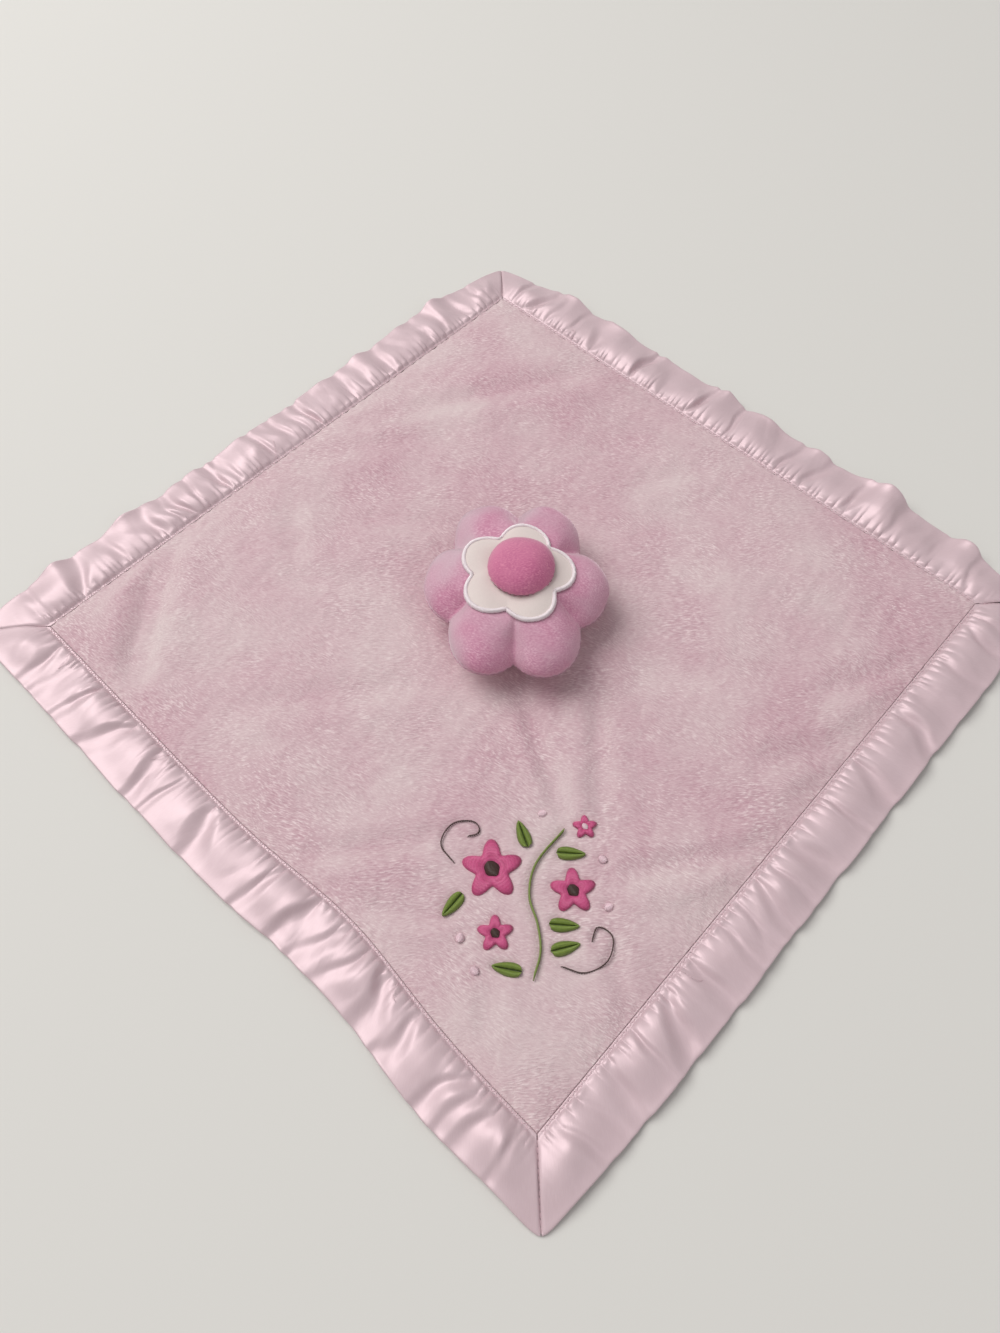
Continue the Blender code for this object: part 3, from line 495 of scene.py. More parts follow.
def spin(lines, radius, sides=6):
    """Closed round threads along lines, an array of threads by points by three."""
    lines = np.asarray(lines, float)
    count, steps = lines.shape[:2]
    run = np.gradient(lines, axis=1)
    run /= np.linalg.norm(run, axis=-1, keepdims=True) + 1e-12
    side = np.cross(run, (0, 0, 1.0))
    side /= np.linalg.norm(side, axis=-1, keepdims=True) + 1e-9
    up = np.cross(side, run)
    angles = np.arange(sides) / sides * math.tau
    ring = lines[:, :, None] + radius * (side[:, :, None] * np.cos(angles)[None, None, :, None]
                                         + up[:, :, None] * np.sin(angles)[None, None, :, None])
    tips = np.stack([lines[:, 0] - run[:, 0] * radius / 2, lines[:, -1] + run[:, -1] * radius / 2], 1)
    each = steps * sides + 2
    points = np.concatenate([ring.reshape(count, -1, 3), tips], 1)
    tube = weave_faces(steps, sides, closed_rows=True)
    j = np.arange(sides)
    after = (j + 1) % sides
    last = (steps - 1) * sides
    caps = np.concatenate([
        np.stack([np.full(sides, last + sides), after, j], -1),
        np.stack([np.full(sides, last + sides + 1), last + j, last + after], -1),
    ])
    first = (np.arange(count) * each)[:, None, None]
    faces = (tube[None] + first).reshape(-1, 4).tolist() + (caps[None] + first).reshape(-1, 3).tolist()
    length = np.concatenate([np.zeros((count, 1)),
                             np.cumsum(np.linalg.norm(np.diff(lines, axis=1), axis=-1), 1)], 1)
    k = np.repeat(np.arange(steps - 1), sides)
    round_at = np.tile(j, steps - 1) / sides
    tube_uv = np.stack([
        np.stack([length[:, at], np.broadcast_to(round_at + ahead / sides, (count, len(k)))], -1)
        for at, ahead in ((k, 0), (k, 1), (k + 1, 1), (k + 1, 0))], 2)
    uv = np.concatenate([tube_uv.reshape(-1, 2), np.zeros((count * 2 * sides * 3, 2))])
    return points.reshape(-1, 3), faces, uv


def stitched(name, lines, radius, finish, body, replaced=(), sides=6):
    points, faces, uv = spin(lines, radius, sides)
    return sew(name, points, faces, finish, body, replaced, thread_uv=uv)


def arched(starts, ends, low, rise, dive=0.0006, points=5):
    """Threads from their starts to their ends, at low plus rise over the cloth. Both ends go down in it."""
    t = np.linspace(0, 1, points)
    starts, ends = np.asarray(starts, float), np.asarray(ends, float)
    plan = starts[:, None] + (ends - starts)[:, None] * t[None, :, None]
    swell = np.sin(t * math.pi) ** 0.45
    up = np.asarray(low)[..., None] + np.asarray(rise)[..., None] * swell - dive * (1 - swell)
    return np.concatenate([plan, np.broadcast_to(up, plan.shape[:2])[..., None]], -1)


def sprig_plan(across, along):
    return np.stack(np.broadcast_arrays(across * sprig_half, sprig_y + along * sprig_half), -1)


def flowing(points, steps):
    """Plan points on a smooth curve through the given ones."""
    spots = [2 * points[0] - points[1], *points, 2 * points[-1] - points[-2]]
    t = np.linspace(0, 1, steps, endpoint=False)[:, None]
    parts = [(2 * b + (c - a) * t + (2 * a - 5 * b + 4 * c - d) * t**2 + (3 * b - a - 3 * c + d) * t**3) / 2
             for a, b, c, d in zip(spots, spots[1:], spots[2:], spots[3:])]
    return np.concatenate([*parts, points[-1:]])


def lengths_along(line):
    """How far each point of a line is from its start, measured along it."""
    return np.concatenate([[0], np.cumsum(np.linalg.norm(np.diff(line, axis=0), axis=1))])


def spot_on(line, length, where):
    """Plan points of a line, where is given as lengths along it."""
    return np.stack([np.interp(where, length, line[:, i]) for i in (0, 1)], -1)


def rope_stitch(points, reach, pace, swing, low, rise):
    """Overlapping slanted stitches along a curve."""
    line = flowing(np.asarray(points), 40)
    length = lengths_along(line)
    at = np.arange(0, length[-1] - reach * 0.4, pace)
    run = spot_on(line, length, at + 0.0005) - spot_on(line, length, at - 0.0005)
    run /= np.linalg.norm(run, axis=1, keepdims=True) + 1e-12
    side = np.stack([-run[:, 1], run[:, 0]], -1)
    ends = spot_on(line, length, np.minimum(at + reach, length[-1]))
    return arched(spot_on(line, length, at) - side * swing, ends + side * swing, low, rise)


def disc_stitch(centre, radius, low, rise, turn=0.6):
    """Parallel threads that fill a small round spot."""
    count = max(5, round(2 * radius / thread_pitch))
    off = (np.arange(count) + 0.5) / count * 2 - 1
    half = np.sqrt(1 - off * off) * radius
    run = np.array([math.cos(turn), math.sin(turn)])
    side = np.array([-run[1], run[0]])
    middle = centre + off[:, None] * radius * side
    reach = half[:, None] * run
    return arched(middle - reach, middle + reach, low, rise * np.sqrt(1.05 - off * off))


threads = {
    "green": thread_stuff("leaf_green_thread", dye(84, 104, 34), dye(140, 160, 66)),
    "pink": thread_stuff("deep_pink_thread", dye(176, 52, 104), dye(222, 106, 156)),
    "pale": thread_stuff("pale_pink_thread", dye(226, 190, 202), dye(248, 226, 232)),
    "brown": thread_stuff("dark_brown_thread", dye(44, 26, 22), dye(84, 56, 48)),
}
sewn_spots = []


def embroider(name, lines, radius, colour, replaced, pressing=True):
    """Sews one figure of the sprig, and notes where its threads press on the pile."""
    stitched(name, lines, radius, threads[colour], "blanket", [replaced])
    if pressing:
        sewn_spots.append(lines[:, ::2, :2].reshape(-1, 2))


stem = rope_stitch(sprig_plan(*np.array(stem_points).T), 0.0034, 0.0008, 0.00030, sprig_low, 0.0010)
embroider("sprig_stem_stitches", stem, thick_thread, "green", "sprig_stem")
for name, spots in tendrils.items():
    line = rope_stitch(sprig_plan(*np.array(spots).T), 0.0022, 0.0009, 0.00012, sprig_low, 0.0006)
    embroider(f"sprig_tendril_stitches_{name}", line, thin_thread, "brown", f"sprig_tendril_{name}")
for number, (across, along, degrees) in enumerate(leaves, 1):
    turn = math.radians(degrees)
    run = np.array([math.cos(turn), math.sin(turn)])
    side = np.array([-run[1], run[0]])
    middle = sprig_plan(across, along)
    count = round(leaf_length * sprig_half / thread_pitch)
    t = (np.arange(count) + 0.5) / count * 2 - 1
    edge_t = np.clip(t + 0.16, -1, 1)
    wide = leaf_width * np.sqrt(1 - edge_t**2) * (1 - 0.35 * edge_t) / 2
    rows = []
    for way in (-1, 1):
        starts = middle + (t[:, None] * leaf_length / 2 * run + way * 0.004 * side) * sprig_half
        ends = middle + (edge_t[:, None] * leaf_length / 2 * run + way * wide[:, None] * side) * sprig_half
        rows.append(arched(starts, ends, sprig_low, sprig_relief * 0.95))
    embroider(f"sprig_leaf_stitches_{number}", np.concatenate(rows), thread, "green",
              f"sprig_leaf_{number}")
for name, (across, along, radius) in blossoms.items():
    middle = sprig_plan(across, along)
    count = round(math.tau * radius * sprig_half / thread_pitch / 1.15)
    a = np.arange(count) / count * math.tau
    reach = radius * (0.78 + 0.22 * np.cos(5 * a)) * sprig_half
    ray = np.stack([np.sin(a), np.cos(a)], -1)
    notch = 1 - 0.35 * ((1 - np.cos(5 * a)) / 2) ** 6
    inner = radius * 0.20 * sprig_half * (1 + 0.5 * (np.arange(count) % 2))
    lines = arched(middle + ray * inner[:, None], middle + ray * reach[:, None], sprig_low,
                   sprig_relief * notch, points=7)
    embroider(f"sprig_blossom_stitches_{name}", lines, thread, "pink", f"sprig_blossom_{name}")
    eye = disc_stitch(middle, radius * 0.27 * sprig_half, sprig_low + sprig_relief * 0.5, sprig_relief)
    embroider(f"sprig_eye_stitches_{name}", eye, thin_thread, "pale" if name == "bud" else "brown",
              f"sprig_eye_{name}", pressing=False)
for number, (across, along) in enumerate(seeds, 1):
    lines = disc_stitch(sprig_plan(across, along), seed_size * sprig_half, sprig_low, sprig_relief, number)
    embroider(f"sprig_seed_stitches_{number}", lines, thin_thread, "pale", f"sprig_seed_{number}")
press_pile(np.concatenate(sewn_spots), 0.0006, 0.0024)

# The trim is four strips of satin ribbon, one to a side, folded over the edge of both plies and gathered
# a little as they are sewn on. The gathers make puffs with slanting folds between them, and close to
# the seam many small puckers. The strips meet in mitres, and the far ones stand off the table in places.
trim_width = 0.0265
# Each corner: the width of the satin at its mitre, and over which share of half a side it gets there.
# The left corner is full and round, and the others run out to a point.
corner_trims = {"near": (0.0236, 0.40), "right": (0.0205, 0.34), "far": (0.0205, 0.38),
                "left": (0.0224, 0.10)}
strip_corners = {
    "near_left": ("left", "near"), "near_right": ("near", "right"), "far_right": ("right", "far"),
    "far_left": ("far", "left"),
}
upper_satin = front_hem_top + gap + satin_thickness / 2
lower_satin = satin_thickness / 2
satin_start = 0.00025
stitch_line = 0.0016
puff = 0.0039
edge_roll = 0.00045
edge_float = 0.0020
rolled_edge = lower_satin + 2 * edge_roll
satin_pitch = 0.00042
fine_rows_reach = 0.0062
mitre_reach = 0.018
mitre_dip, mitre_dip_reach = 0.0014, 0.0030
mitre_groove, mitre_groove_reach = 0.0007, 0.0011
pucker_count, pucker_rise = 105, 0.0021
crease_count, crease_depth = 64, 0.00060
# Each fold: where it starts at the seam and ends at the outer edge, along the side from its middle,
# its half width, and how far it reaches down into the puffs. Millimetres, and a share for the last.
folds = {
    "near_left": (
        (-139, -139, 3.5, 0.6), (-125, -131, 3.5, 0.6), (-107, -113, 3.5, 0.65), (-79, -93, 5.5, 0.95),
        (-63, -59, 4.0, 0.9), (-47, -49, 2.5, 0.45), (-28, -20, 6.0, 0.95), (14, 10, 3.5, 0.65),
        (35, 31, 4.5, 0.95), (52, 42, 4.0, 0.8), (66, 55, 4.0, 0.45), (76, 80, 6.5, 0.95),
        (96, 91, 3.5, 0.65), (124, 115, 3.5, 0.65), (129, 126, 3.0, 0.5), (138, 134, 4.0, 0.45),
        (146, 150, 2.5, 0.35),
    ),
    "near_right": (
        (-148, -142, 3.0, 0.35), (-133, -131, 2.5, 0.35), (-119, -124, 4.5, 0.9), (-103, -105, 2.5, 0.35),
        (-82, -96, 5.5, 0.9), (-68, -70, 4.5, 0.9), (-51, -52, 2.5, 0.35), (-38, -39, 2.5, 0.35),
        (-25, -31, 3.5, 0.65), (-17, -18, 2.5, 0.35), (-1, -1, 6.0, 0.95), (23, 23, 2.5, 0.35),
        (47, 40, 4.5, 0.9), (82, 72, 4.5, 0.9), (95, 93, 5.0, 0.5), (115, 115, 4.0, 0.45),
        (136, 135, 3.0, 0.45), (145, 145, 3.0, 0.45),
    ),
    "far_right": (
        (-145, -142, 3.0, 0.5), (-122, -126, 3.5, 0.6), (-100, -100, 4.0, 0.45), (-74, -82, 4.0, 0.9),
        (-52, -57, 3.5, 0.65), (-34, -41, 4.0, 0.9), (-2, -2, 2.5, 0.6), (21, 15, 3.0, 0.9),
        (40, 40, 6.0, 0.45), (60, 57, 3.0, 0.9), (92, 87, 6.0, 0.95), (107, 106, 3.0, 0.4),
        (122, 122, 3.0, 0.4), (136, 128, 4.0, 0.9), (146, 147, 2.5, 0.5),
    ),
    "far_left": (
        (-145, -145, 2.5, 0.35), (-130, -128, 4.5, 0.9), (-113, -113, 4.0, 0.45), (-100, -100, 5.0, 0.5),
        (-68, -72, 6.0, 0.9), (-56, -56, 4.0, 0.4), (-43, -43, 5.5, 0.9), (-17, -16, 3.0, 0.9),
        (-8, -8, 3.5, 0.4), (2, 2, 2.5, 0.4), (13, 16, 3.0, 0.55), (35, 39, 3.0, 0.55), (43, 45, 3.0, 0.9),
        (58, 58, 2.5, 0.35), (67, 71, 3.5, 0.6), (75, 75, 2.5, 0.35), (84, 87, 6.0, 0.9),
        (106, 108, 5.0, 0.45), (130, 125, 5.5, 0.9), (150, 150, 3.0, 0.35),
    ),
}
# Where the outer edge stands off the table: along the side, how high, and its half width.
edge_lifts = {
    "near_left": ((-112, 0.7, 8), (-40, 0.9, 9), (52, 0.6, 9), (104, 0.7, 8)),
    "near_right": ((-105, 0.8, 9), (-48, 0.9, 10), (22, 0.8, 9), (62, 1.0, 9), (104, 0.9, 9)),
    "far_right": (
        (-135, 6, 8), (-87, 9.5, 12), (-47, 4, 10), (-15, 4, 9), (12, 5, 8), (38, 1.5, 7), (55, 2, 6),
        (86, 5, 9), (122, 5, 10),
    ),
    "far_left": (
        (-122, 5, 9), (-95, 1.5, 8), (-62, 2, 8), (-38, 2, 8), (22, 1.5, 8), (52, 1, 8), (91, 5.5, 9),
        (133, 4.5, 8),
    ),
}
# Each puff leans over its fold, so one slope of the fold is the steeper one.
fold_lean = {"near_left": 0.25, "near_right": -0.25, "far_right": -0.25, "far_left": 0.25}
draws = {side: np.random.RandomState(20 + i) for i, side in enumerate(folds)}
pucker_places = {
    side: -0.195 + np.cumsum(draws[side].uniform(0.0020, 0.0060, pucker_count)) for side in folds}
pucker_reach = {side: 0.0013 + 0.0036 * draws[side].uniform(0, 1, pucker_count) ** 2 for side in folds}
pucker_height = {side: draws[side].uniform(0.3, 1.0, pucker_count) * pucker_rise for side in folds}
creases = {side: draws[side].uniform(-1, 1, (crease_count, 5)) for side in folds}


def strip_width(side, share):
    """Visible width of the satin, which is less at a mitre."""
    before, after = (corner_trims[corner] for corner in strip_corners[side])
    least, eased = (np.where(share < 0, first, second) for first, second in zip(before, after))
    full = least + (trim_width - least) * ease((1 - abs(share)) / eased)
    return full - mitre_dip * np.exp(-(1 - abs(share)) * half_side / mitre_dip_reach)


def kink(off, wide):
    """A fold with flat slopes: 1 in its bottom and 0 from wide outwards, both rounded a little."""
    slope = 1.08 - np.sqrt((off / wide) ** 2 + 0.006)
    return np.where(slope > 0.12, slope, 0.12 * np.exp(np.minimum(slope - 0.12, 0) / 0.12))


def fold_openness(side, along, across):
    """1 on a puff and towards 0 in a fold, for places along the side and shares across the strip."""
    opened = np.ones(np.shape(along))
    for at_seam, at_edge, reach, depth in folds[side]:
        off = along / mm - (at_seam + (at_edge - at_seam) * across)
        wide = reach * (0.65 + 0.55 * np.minimum(1, 1.5 * across)) * (1 + fold_lean[side] * np.sign(off))
        dip = 0.5 + 0.5 * np.cos(math.pi * np.clip(off / wide / 1.2, -1, 1))
        opened = opened * (1 - depth * (1 - 0.38 * across) * dip)
    return opened


def edge_rise(side, along):
    """How high the outer edge stands off the table: a little on every puff, and more in some places."""
    lifted = sum(lift * mm * np.exp(-((along / mm - at) / reach) ** 2)
                 for at, lift, reach in edge_lifts[side])
    settled = ease((half_side + trim_width - abs(along)) / 0.024)
    return lifted + edge_float * settled * fold_openness(side, along, 1.0)


def satin_height(side, along, out):
    """Middle of the upper layer of satin: along the side from its middle, and out from the plush."""
    width = strip_width(side, along / (half_side + out - gap))
    across = np.clip(out / width, 0, 1)
    from_mitre = half_side + out - abs(along)
    settled = ease(from_mitre / mitre_reach)
    stirred = along + 0.0015 * mottle(along, out, 0.014, 31)
    opened = 1 + (fold_openness(side, stirred, across) - 1) * settled
    uneven = mottle(along, np.zeros(np.shape(along)), 0.026, 32, 9)
    fullness = (0.35 + 0.65 * settled) * (0.88 + 0.22 * uneven)
    beyond = np.clip(out - stitch_line, 0, None)
    swell = (1 - np.exp(-((beyond / 0.0042) ** 1.2))) * (1 - 0.86 * ease((across - 0.42) / 0.66))
    rise = edge_rise(side, along)
    level = upper_satin + (rolled_edge - upper_satin) * ease((out - 0.005) / (width - 0.005))
    level = level + rise * np.clip((across - 0.12) / 0.88, 0, None) ** 1.8
    spots = pucker_places[side]
    phase = np.interp(along, spots, np.arange(len(spots)))
    puckered = np.clip(np.sin(math.pi * (phase % 1) ** 0.65), 0, None) ** 0.9
    reach = np.interp(along, spots, pucker_reach[side])
    height = np.interp(along, spots, pucker_height[side]) * ease(from_mitre / 0.006)
    fringe = np.where(out < stitch_line, 0.14 * ease((stitch_line - out) / stitch_line),
                      (1 - np.exp(-beyond / 0.0008)) * np.exp(-np.clip(beyond - 0.0010, 0, None) / reach))
    crumple = np.zeros(np.shape(along))
    for place_share, slant, start, strength, size in creases[side]:
        spine = place_share * half_side + slant * 0.014 * (across - 0.5)
        held = ease((across - 0.30 * abs(start)) / 0.25) * ease((1.20 - 0.35 * abs(size) - across) / 0.3)
        crumple = crumple - crease_depth * strength * held * kink(along - spine, 0.0056 + 0.0026 * size)
    pressed = 0.00024 * (1 - ease(out / 0.0008))
    groove = mitre_groove * np.exp(-((from_mitre / mitre_groove_reach) ** 2)) * ease((out - 0.001) / 0.003)
    shape = puff * fullness * swell * opened + height * puckered * fringe + crumple * settled
    return np.maximum(level + shape - groove - pressed,
                      np.where(across > 0.98, rolled_edge + rise, rolled_edge))


def satin_weave():
    """Floats of the weave, long along the ribbon, under a faint cloud."""
    tree, given, out = effect("satin_weave", {"Pitch": 0.0004})
    uv = node(tree, "ShaderNodeUVMap", uv_map="along_thread")
    parts = node(tree, "ShaderNodeSeparateXYZ", {0: uv.outputs[0]}).outputs
    floats = node(tree, "ShaderNodeCombineXYZ", {
        "X": maths(tree, "DIVIDE", parts["X"], given["Pitch"]),
        "Y": maths(tree, "DIVIDE", parts["Y"], maths(tree, "MULTIPLY", given["Pitch"], 8)),
    })
    line = node(tree, "ShaderNodeTexNoise", {"Vector": floats.outputs[0], "Scale": 1.0, "Detail": 2.0})
    cloud = node(tree, "ShaderNodeTexNoise", {
        "Vector": node(tree, "ShaderNodeTexCoord").outputs["Object"], "Scale": 60.0, "Detail": 3.0})
    tree.links.new(maths(tree, "MULTIPLY_ADD", line.outputs["Fac"], 0.5,
                         maths(tree, "MULTIPLY", cloud.outputs["Fac"], 0.5)), out["Tone"])
    tree.links.new(line.outputs["Fac"], out["Height"])
    return tree


satin_looks = {"Roughness": 0.48, "Metallic": 0.25, "Specular IOR Level": 0.5, "Sheen Weight": 0.1}
satin = finish_from("pink_satin", satin_weave(), {}, dye(201, 175, 181), dye(221, 198, 204), 0.00003,
                    satin_looks)[0]


def strip_points(side):
    """The folded strip as a grid of points along the side and over its section."""
    length = 2 * (half_side + trim_width)
    share = np.linspace(-1, 1, round(length / satin_pitch) + 1)[:, None]
    width = strip_width(side, share)
    settled = ease((1 - abs(share)) * half_side / mitre_reach)
    pulled = 0.0007 * (1 - fold_openness(side, share * (half_side + trim_width), 1.0)) * settled
    wander = 0.0003 * settled * mottle(share * half_side, np.zeros(share.shape), 0.017, 33, 9)
    edge = width - pulled + wander - edge_roll
    fine_rows = np.broadcast_to(np.linspace(satin_start, fine_rows_reach, 15)[:-1], (len(share), 14))
    wide_rows = fine_rows_reach + np.linspace(0, 1, 24) ** 0.95 * (edge - fine_rows_reach)
    top_out = np.concatenate([fine_rows, wide_rows], 1)
    top_along = share * (half_side + top_out - gap)
    top = hem_place(side, share, top_out, satin_height(side, top_along, top_out))
    turn = np.linspace(0, math.pi, 8)[None, 1:-1]
    edge_along = share * (half_side + edge)
    rise = edge_rise(side, edge_along)
    roll = (satin_height(side, edge_along, edge) - lower_satin - rise) / 2
    middle = lower_satin + rise + roll
    around = hem_place(side, share, edge + edge_roll * np.sin(turn), middle + roll * np.cos(turn))
    back = np.linspace(1, 0, 16)[None]
    under_out = edge * back
    under_up = lower_satin + rise * np.clip((back - 0.25) / 0.75, 0, None) ** 1.5
    under = hem_place(side, share, under_out, under_up)
    return np.concatenate([top, around, under], 1)


def grid_uv(mid):
    """Cloth lengths along and across a grid of points, for the faces that thin_sheet makes."""
    rows, columns = mid.shape[:2]
    along = np.linalg.norm(mid[:, 0] - mid[0, 0], axis=-1)
    across = lengths_along(mid[rows // 2])
    place = np.stack(np.broadcast_arrays(along[:, None], across[None]), -1).reshape(-1, 2)
    return np.concatenate([place, place])


for side in folds:
    strip = strip_points(side)
    points, faces = thin_sheet(strip, satin_thickness)
    place = grid_uv(strip)
    piece = sew(f"satin_strip_{side}", points, faces, satin, "blanket", [f"satin_trim_{side}"],
                thread_uv=place[np.concatenate(faces)])

# Each strip is held by one line of small zigzag stitches through all the layers, close to its inner
# edge. The stitches lie over the satin and are drawn in at both ends.
zigzag_pace = 0.00125
zigzag_in, zigzag_out = 0.00022, 0.0016
sewing_thread = 0.00011
seam_pink = thread_stuff("pale_seam_thread", dye(216, 182, 190), dye(238, 212, 219), roughness=0.7)


def on_satin(side, along, out, up):
    share = along / (half_side + out - gap)
    return hem_place(side, share, out, satin_height(side, along, out) + satin_thickness / 2 + up)


def loose_end(side, along, out, wander, points=14):
    """A clipped thread end that curls over the satin."""
    t = np.linspace(0, 1, points)
    draw = np.random.RandomState(5000 + round(along * 1e4))
    phase = draw.uniform(0, math.tau)
    at = along + wander[0] * t + 0.0012 * np.sin(phase + 4.5 * t) * t
    reach = out + wander[1] * t + 0.0010 * np.cos(phase + 5.5 * t) * t
    return on_satin(side, at, np.clip(reach, 0.0004, 0.024), 0.0002 + 0.0009 * np.sin(math.pi * t))


loose_ends = {
    "near_left": ((-0.1330, (0.004, 0.008)), (-0.0600, (-0.003, 0.007)), (0.0800, (0.004, 0.006))),
    "near_right": ((-0.0750, (0.003, 0.009)),),
    "far_right": ((0.1010, (0.003, 0.005)),),
    "far_left": ((0.0150, (-0.004, 0.008)),),
}
for side in folds:
    ends = np.arange(-half_side + 0.0012, half_side - 0.0012, zigzag_pace)
    ends = ends + draws[side].uniform(-0.00012, 0.00012, len(ends))
    outs = np.where(np.arange(len(ends)) % 2, zigzag_out, zigzag_in)
    t = np.linspace(0, 1, 7)
    along = ends[:-1, None] + (ends[1:] - ends[:-1])[:, None] * t
    out = outs[:-1, None] + (outs[1:] - outs[:-1])[:, None] * t
    arch = 0.00014 * np.sin(t * math.pi) ** 0.6 - 0.00018 * abs(2 * t - 1) ** 6
    lines = on_satin(side, along, out, arch[None] * np.ones(along.shape))
    points, faces, uv = spin(lines, sewing_thread)
    for at, wander in loose_ends[side]:
        end_points, end_faces, end_uv = spin(
            loose_end(side, at, zigzag_out, wander)[None], sewing_thread * 0.8)
        faces = faces + [[corner + len(points) for corner in face] for face in end_faces]
        points, uv = np.concatenate([points, end_points]), np.concatenate([uv, end_uv])
    sew(f"zigzag_stitches_{side}", points, faces, seam_pink, "blanket",
        [f"trim_seam_thread_{side}"], thread_uv=uv)

# Each mitre is closed by a fine line of short stitches that sits down in the groove between two strips.
# Each corner: a strip that ends there, and the way the mitre runs.
mitres = {"near": ("near_left", 270), "right": ("near_right", 0), "far": ("far_right", 90),
          "left": ("far_left", 180)}


def ring_at(reach, angle, up, deeper=1):
    """Points that reach out from the middle at an angle, on a form that can be deeper than it is wide."""
    x, y = reach * np.cos(angle), reach * np.sin(angle) * deeper
    return np.stack(np.broadcast_arrays(x, y, up), -1)


for corner, (side, degrees) in mitres.items():
    reach = np.linspace(stitch_line, corner_trims[corner][0] - 0.0018, 14)
    outs = np.linspace(0, 1, 5)[None] * (reach[1:] - reach[:-1])[:, None] * 0.86 + reach[:-1, None]
    up = satin_height(side, half_side + outs, outs) + satin_thickness / 2
    dip = 0.00012 * np.sin(np.linspace(0, math.pi, 5)) - 0.00005
    lines = ring_at((half_side + outs) * math.sqrt(2), math.radians(degrees), up + dip)
    stitched(f"mitre_stitches_{corner}", lines, sewing_thread, seam_pink, "blanket",
             [f"mitre_thread_{corner}"])

# The flower is sewn on by a shank: a few strands of strong thread through the front ply, knotted behind
# it, and wound round with two layers of turns so that the flower can tip and turn a little.
shank_pink = thread_stuff("strong_shank_thread", dye(206, 166, 178), dye(234, 200, 210), roughness=0.6)
pivot_x, pivot_y, pivot_z = 0.0, 0.0028, plush_top + 0.0022
flower_middle = np.array([pivot_x, pivot_y, 0])
strand_ring, strand_count, strand_thickness = 0.0010, 6, 0.0007
wrap_turns, wrap_thickness = 3, 0.0008


def shank_line(name, radius, turn, low, high, t, thickness, body, replaced, sides=6):
    """Threads that wind round the middle of the shank from low to high."""
    up = low + (high - low) * t
    lines = ring_at(radius, turn, up) + flower_middle
    stitched(name, lines, thickness / 2, shank_pink, body, [replaced], sides=sides)


core_low, core_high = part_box("shank_core_thread")
t = np.linspace(0, 1, 24)
turn = np.arange(strand_count)[:, None] / strand_count * math.tau + 0.5 * math.tau * t[None]
shank_line("shank_strands", strand_ring, turn, core_low.z + 0.0003, core_high.z - 0.0002, t,
           strand_thickness, "blanket", "shank_core_thread")
t = np.linspace(0, 1, 16 * wrap_turns)
for layer in ("inner", "outer"):
    wrap_low, wrap_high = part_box(f"shank_{layer}_wrap")
    shank_line(f"shank_{layer}_turns", (wrap_high.x - wrap_low.x) / 2 - 0.00045,
               wrap_turns * math.tau * t[None], wrap_low.z + 0.0004, wrap_high.z - 0.0004, t,
               wrap_thickness, f"shank_{layer}", f"shank_{layer}_wrap", sides=8)

# The flower is a small cushion of lilac pink velour: a top and an under cover of six round petals, sewn
# together round the side, turned right side out and stuffed. Its underside is hollow over the shank.
petals, flower_width, flower_depth, petal_radius = 6, 0.0836, 0.0979, 0.0168
petal_top, petal_seam, cover_thickness = 0.0302, 0.0151, 0.0010
groove_depth = 0.0060
flower_turn = math.radians(-4)
pivot_height = pivot_z - plush_top
seam_up = petal_seam - pivot_height
swell = petal_top - petal_seam
mouth_up = 0.0005 - pivot_height
stretch = flower_depth / flower_width
under_slope = math.tan(math.acos(math.cos(math.radians(6)) ** 2)) * 1.15 * stretch
hollow_radius = 0.0047
petal_angles = np.arange(288) / 288 * math.tau
seam_inset, seam_puff, seam_puffs = 0.0007, 0.00030, 42
seam_stitches, seam_thread, seam_thread_out = 126, 0.00018, 0.00035


def lobe_away(angle, lobes, turn, soft):
    """Angle from the middle of the nearest lobe, rounded off in the notch between two."""
    half_part = math.pi / lobes
    away = abs((angle - turn + half_part) % (2 * half_part) - half_part)
    inside = half_part - away
    rounded = half_part - np.sqrt(inside**2 + soft**2) + 0.2 * soft * np.exp(-inside / soft)
    return np.clip(rounded, 0, None)


def lobed_reach(angle, lobes, turn, reach, radius, soft=0.03):
    """Outline of round lobes that run into one another."""
    middle = reach - radius
    away = lobe_away(angle, lobes, turn, soft)
    return middle * np.cos(away) + np.sqrt(np.clip(radius**2 - (middle * np.sin(away)) ** 2, 1e-9, None))


def lumps(x, y, z):
    """Soft unevenness of the stuffing."""
    return 0.00040 * mottle(x + 0.7 * z, y - 0.4 * z, 0.011, 51, 14)


def dome_share(share):
    """Height of the rounded top at a share of the way out."""
    return 0.9 * np.sqrt(np.clip(1 - share**4.6, 0, None)) + 0.1 * (1 - share**2)


def petal_outline(inset):
    return lobed_reach(petal_angles, petals, flower_turn, flower_width / 2 - inset, petal_radius - inset)


def drawn_in(reach, near_seam, plain):
    """The side seam draws the covers in, and they stand out a little between its stitches."""
    puffs = 0 if plain else seam_puff * abs(np.sin(petal_angles * seam_puffs)) ** 0.6 * near_seam
    return reach - seam_inset * near_seam + puffs


def petal_row(share, inset, plain=False):
    """A ring of the domed top at a share of the way out, drawn in by inset."""
    dome = dome_share(share)
    valley = (lobe_away(petal_angles, petals, flower_turn, 0.03) * petals / math.pi) ** 2.6
    groove = groove_depth * valley * ease((share - 0.56) / 0.32) * dome
    up = seam_up + (swell - inset) * dome - groove
    near_seam = math.exp(-((dome * swell / 0.0022) ** 2))
    reach = drawn_in(petal_outline(inset) * share, near_seam, plain)
    x, y = reach * np.cos(petal_angles), reach * np.sin(petal_angles) * stretch
    push = lumps(x, y, up) * (1 - near_seam)
    scale = 1 + push / 0.035
    return np.stack([x * scale, y * scale, up + push * dome], -1)


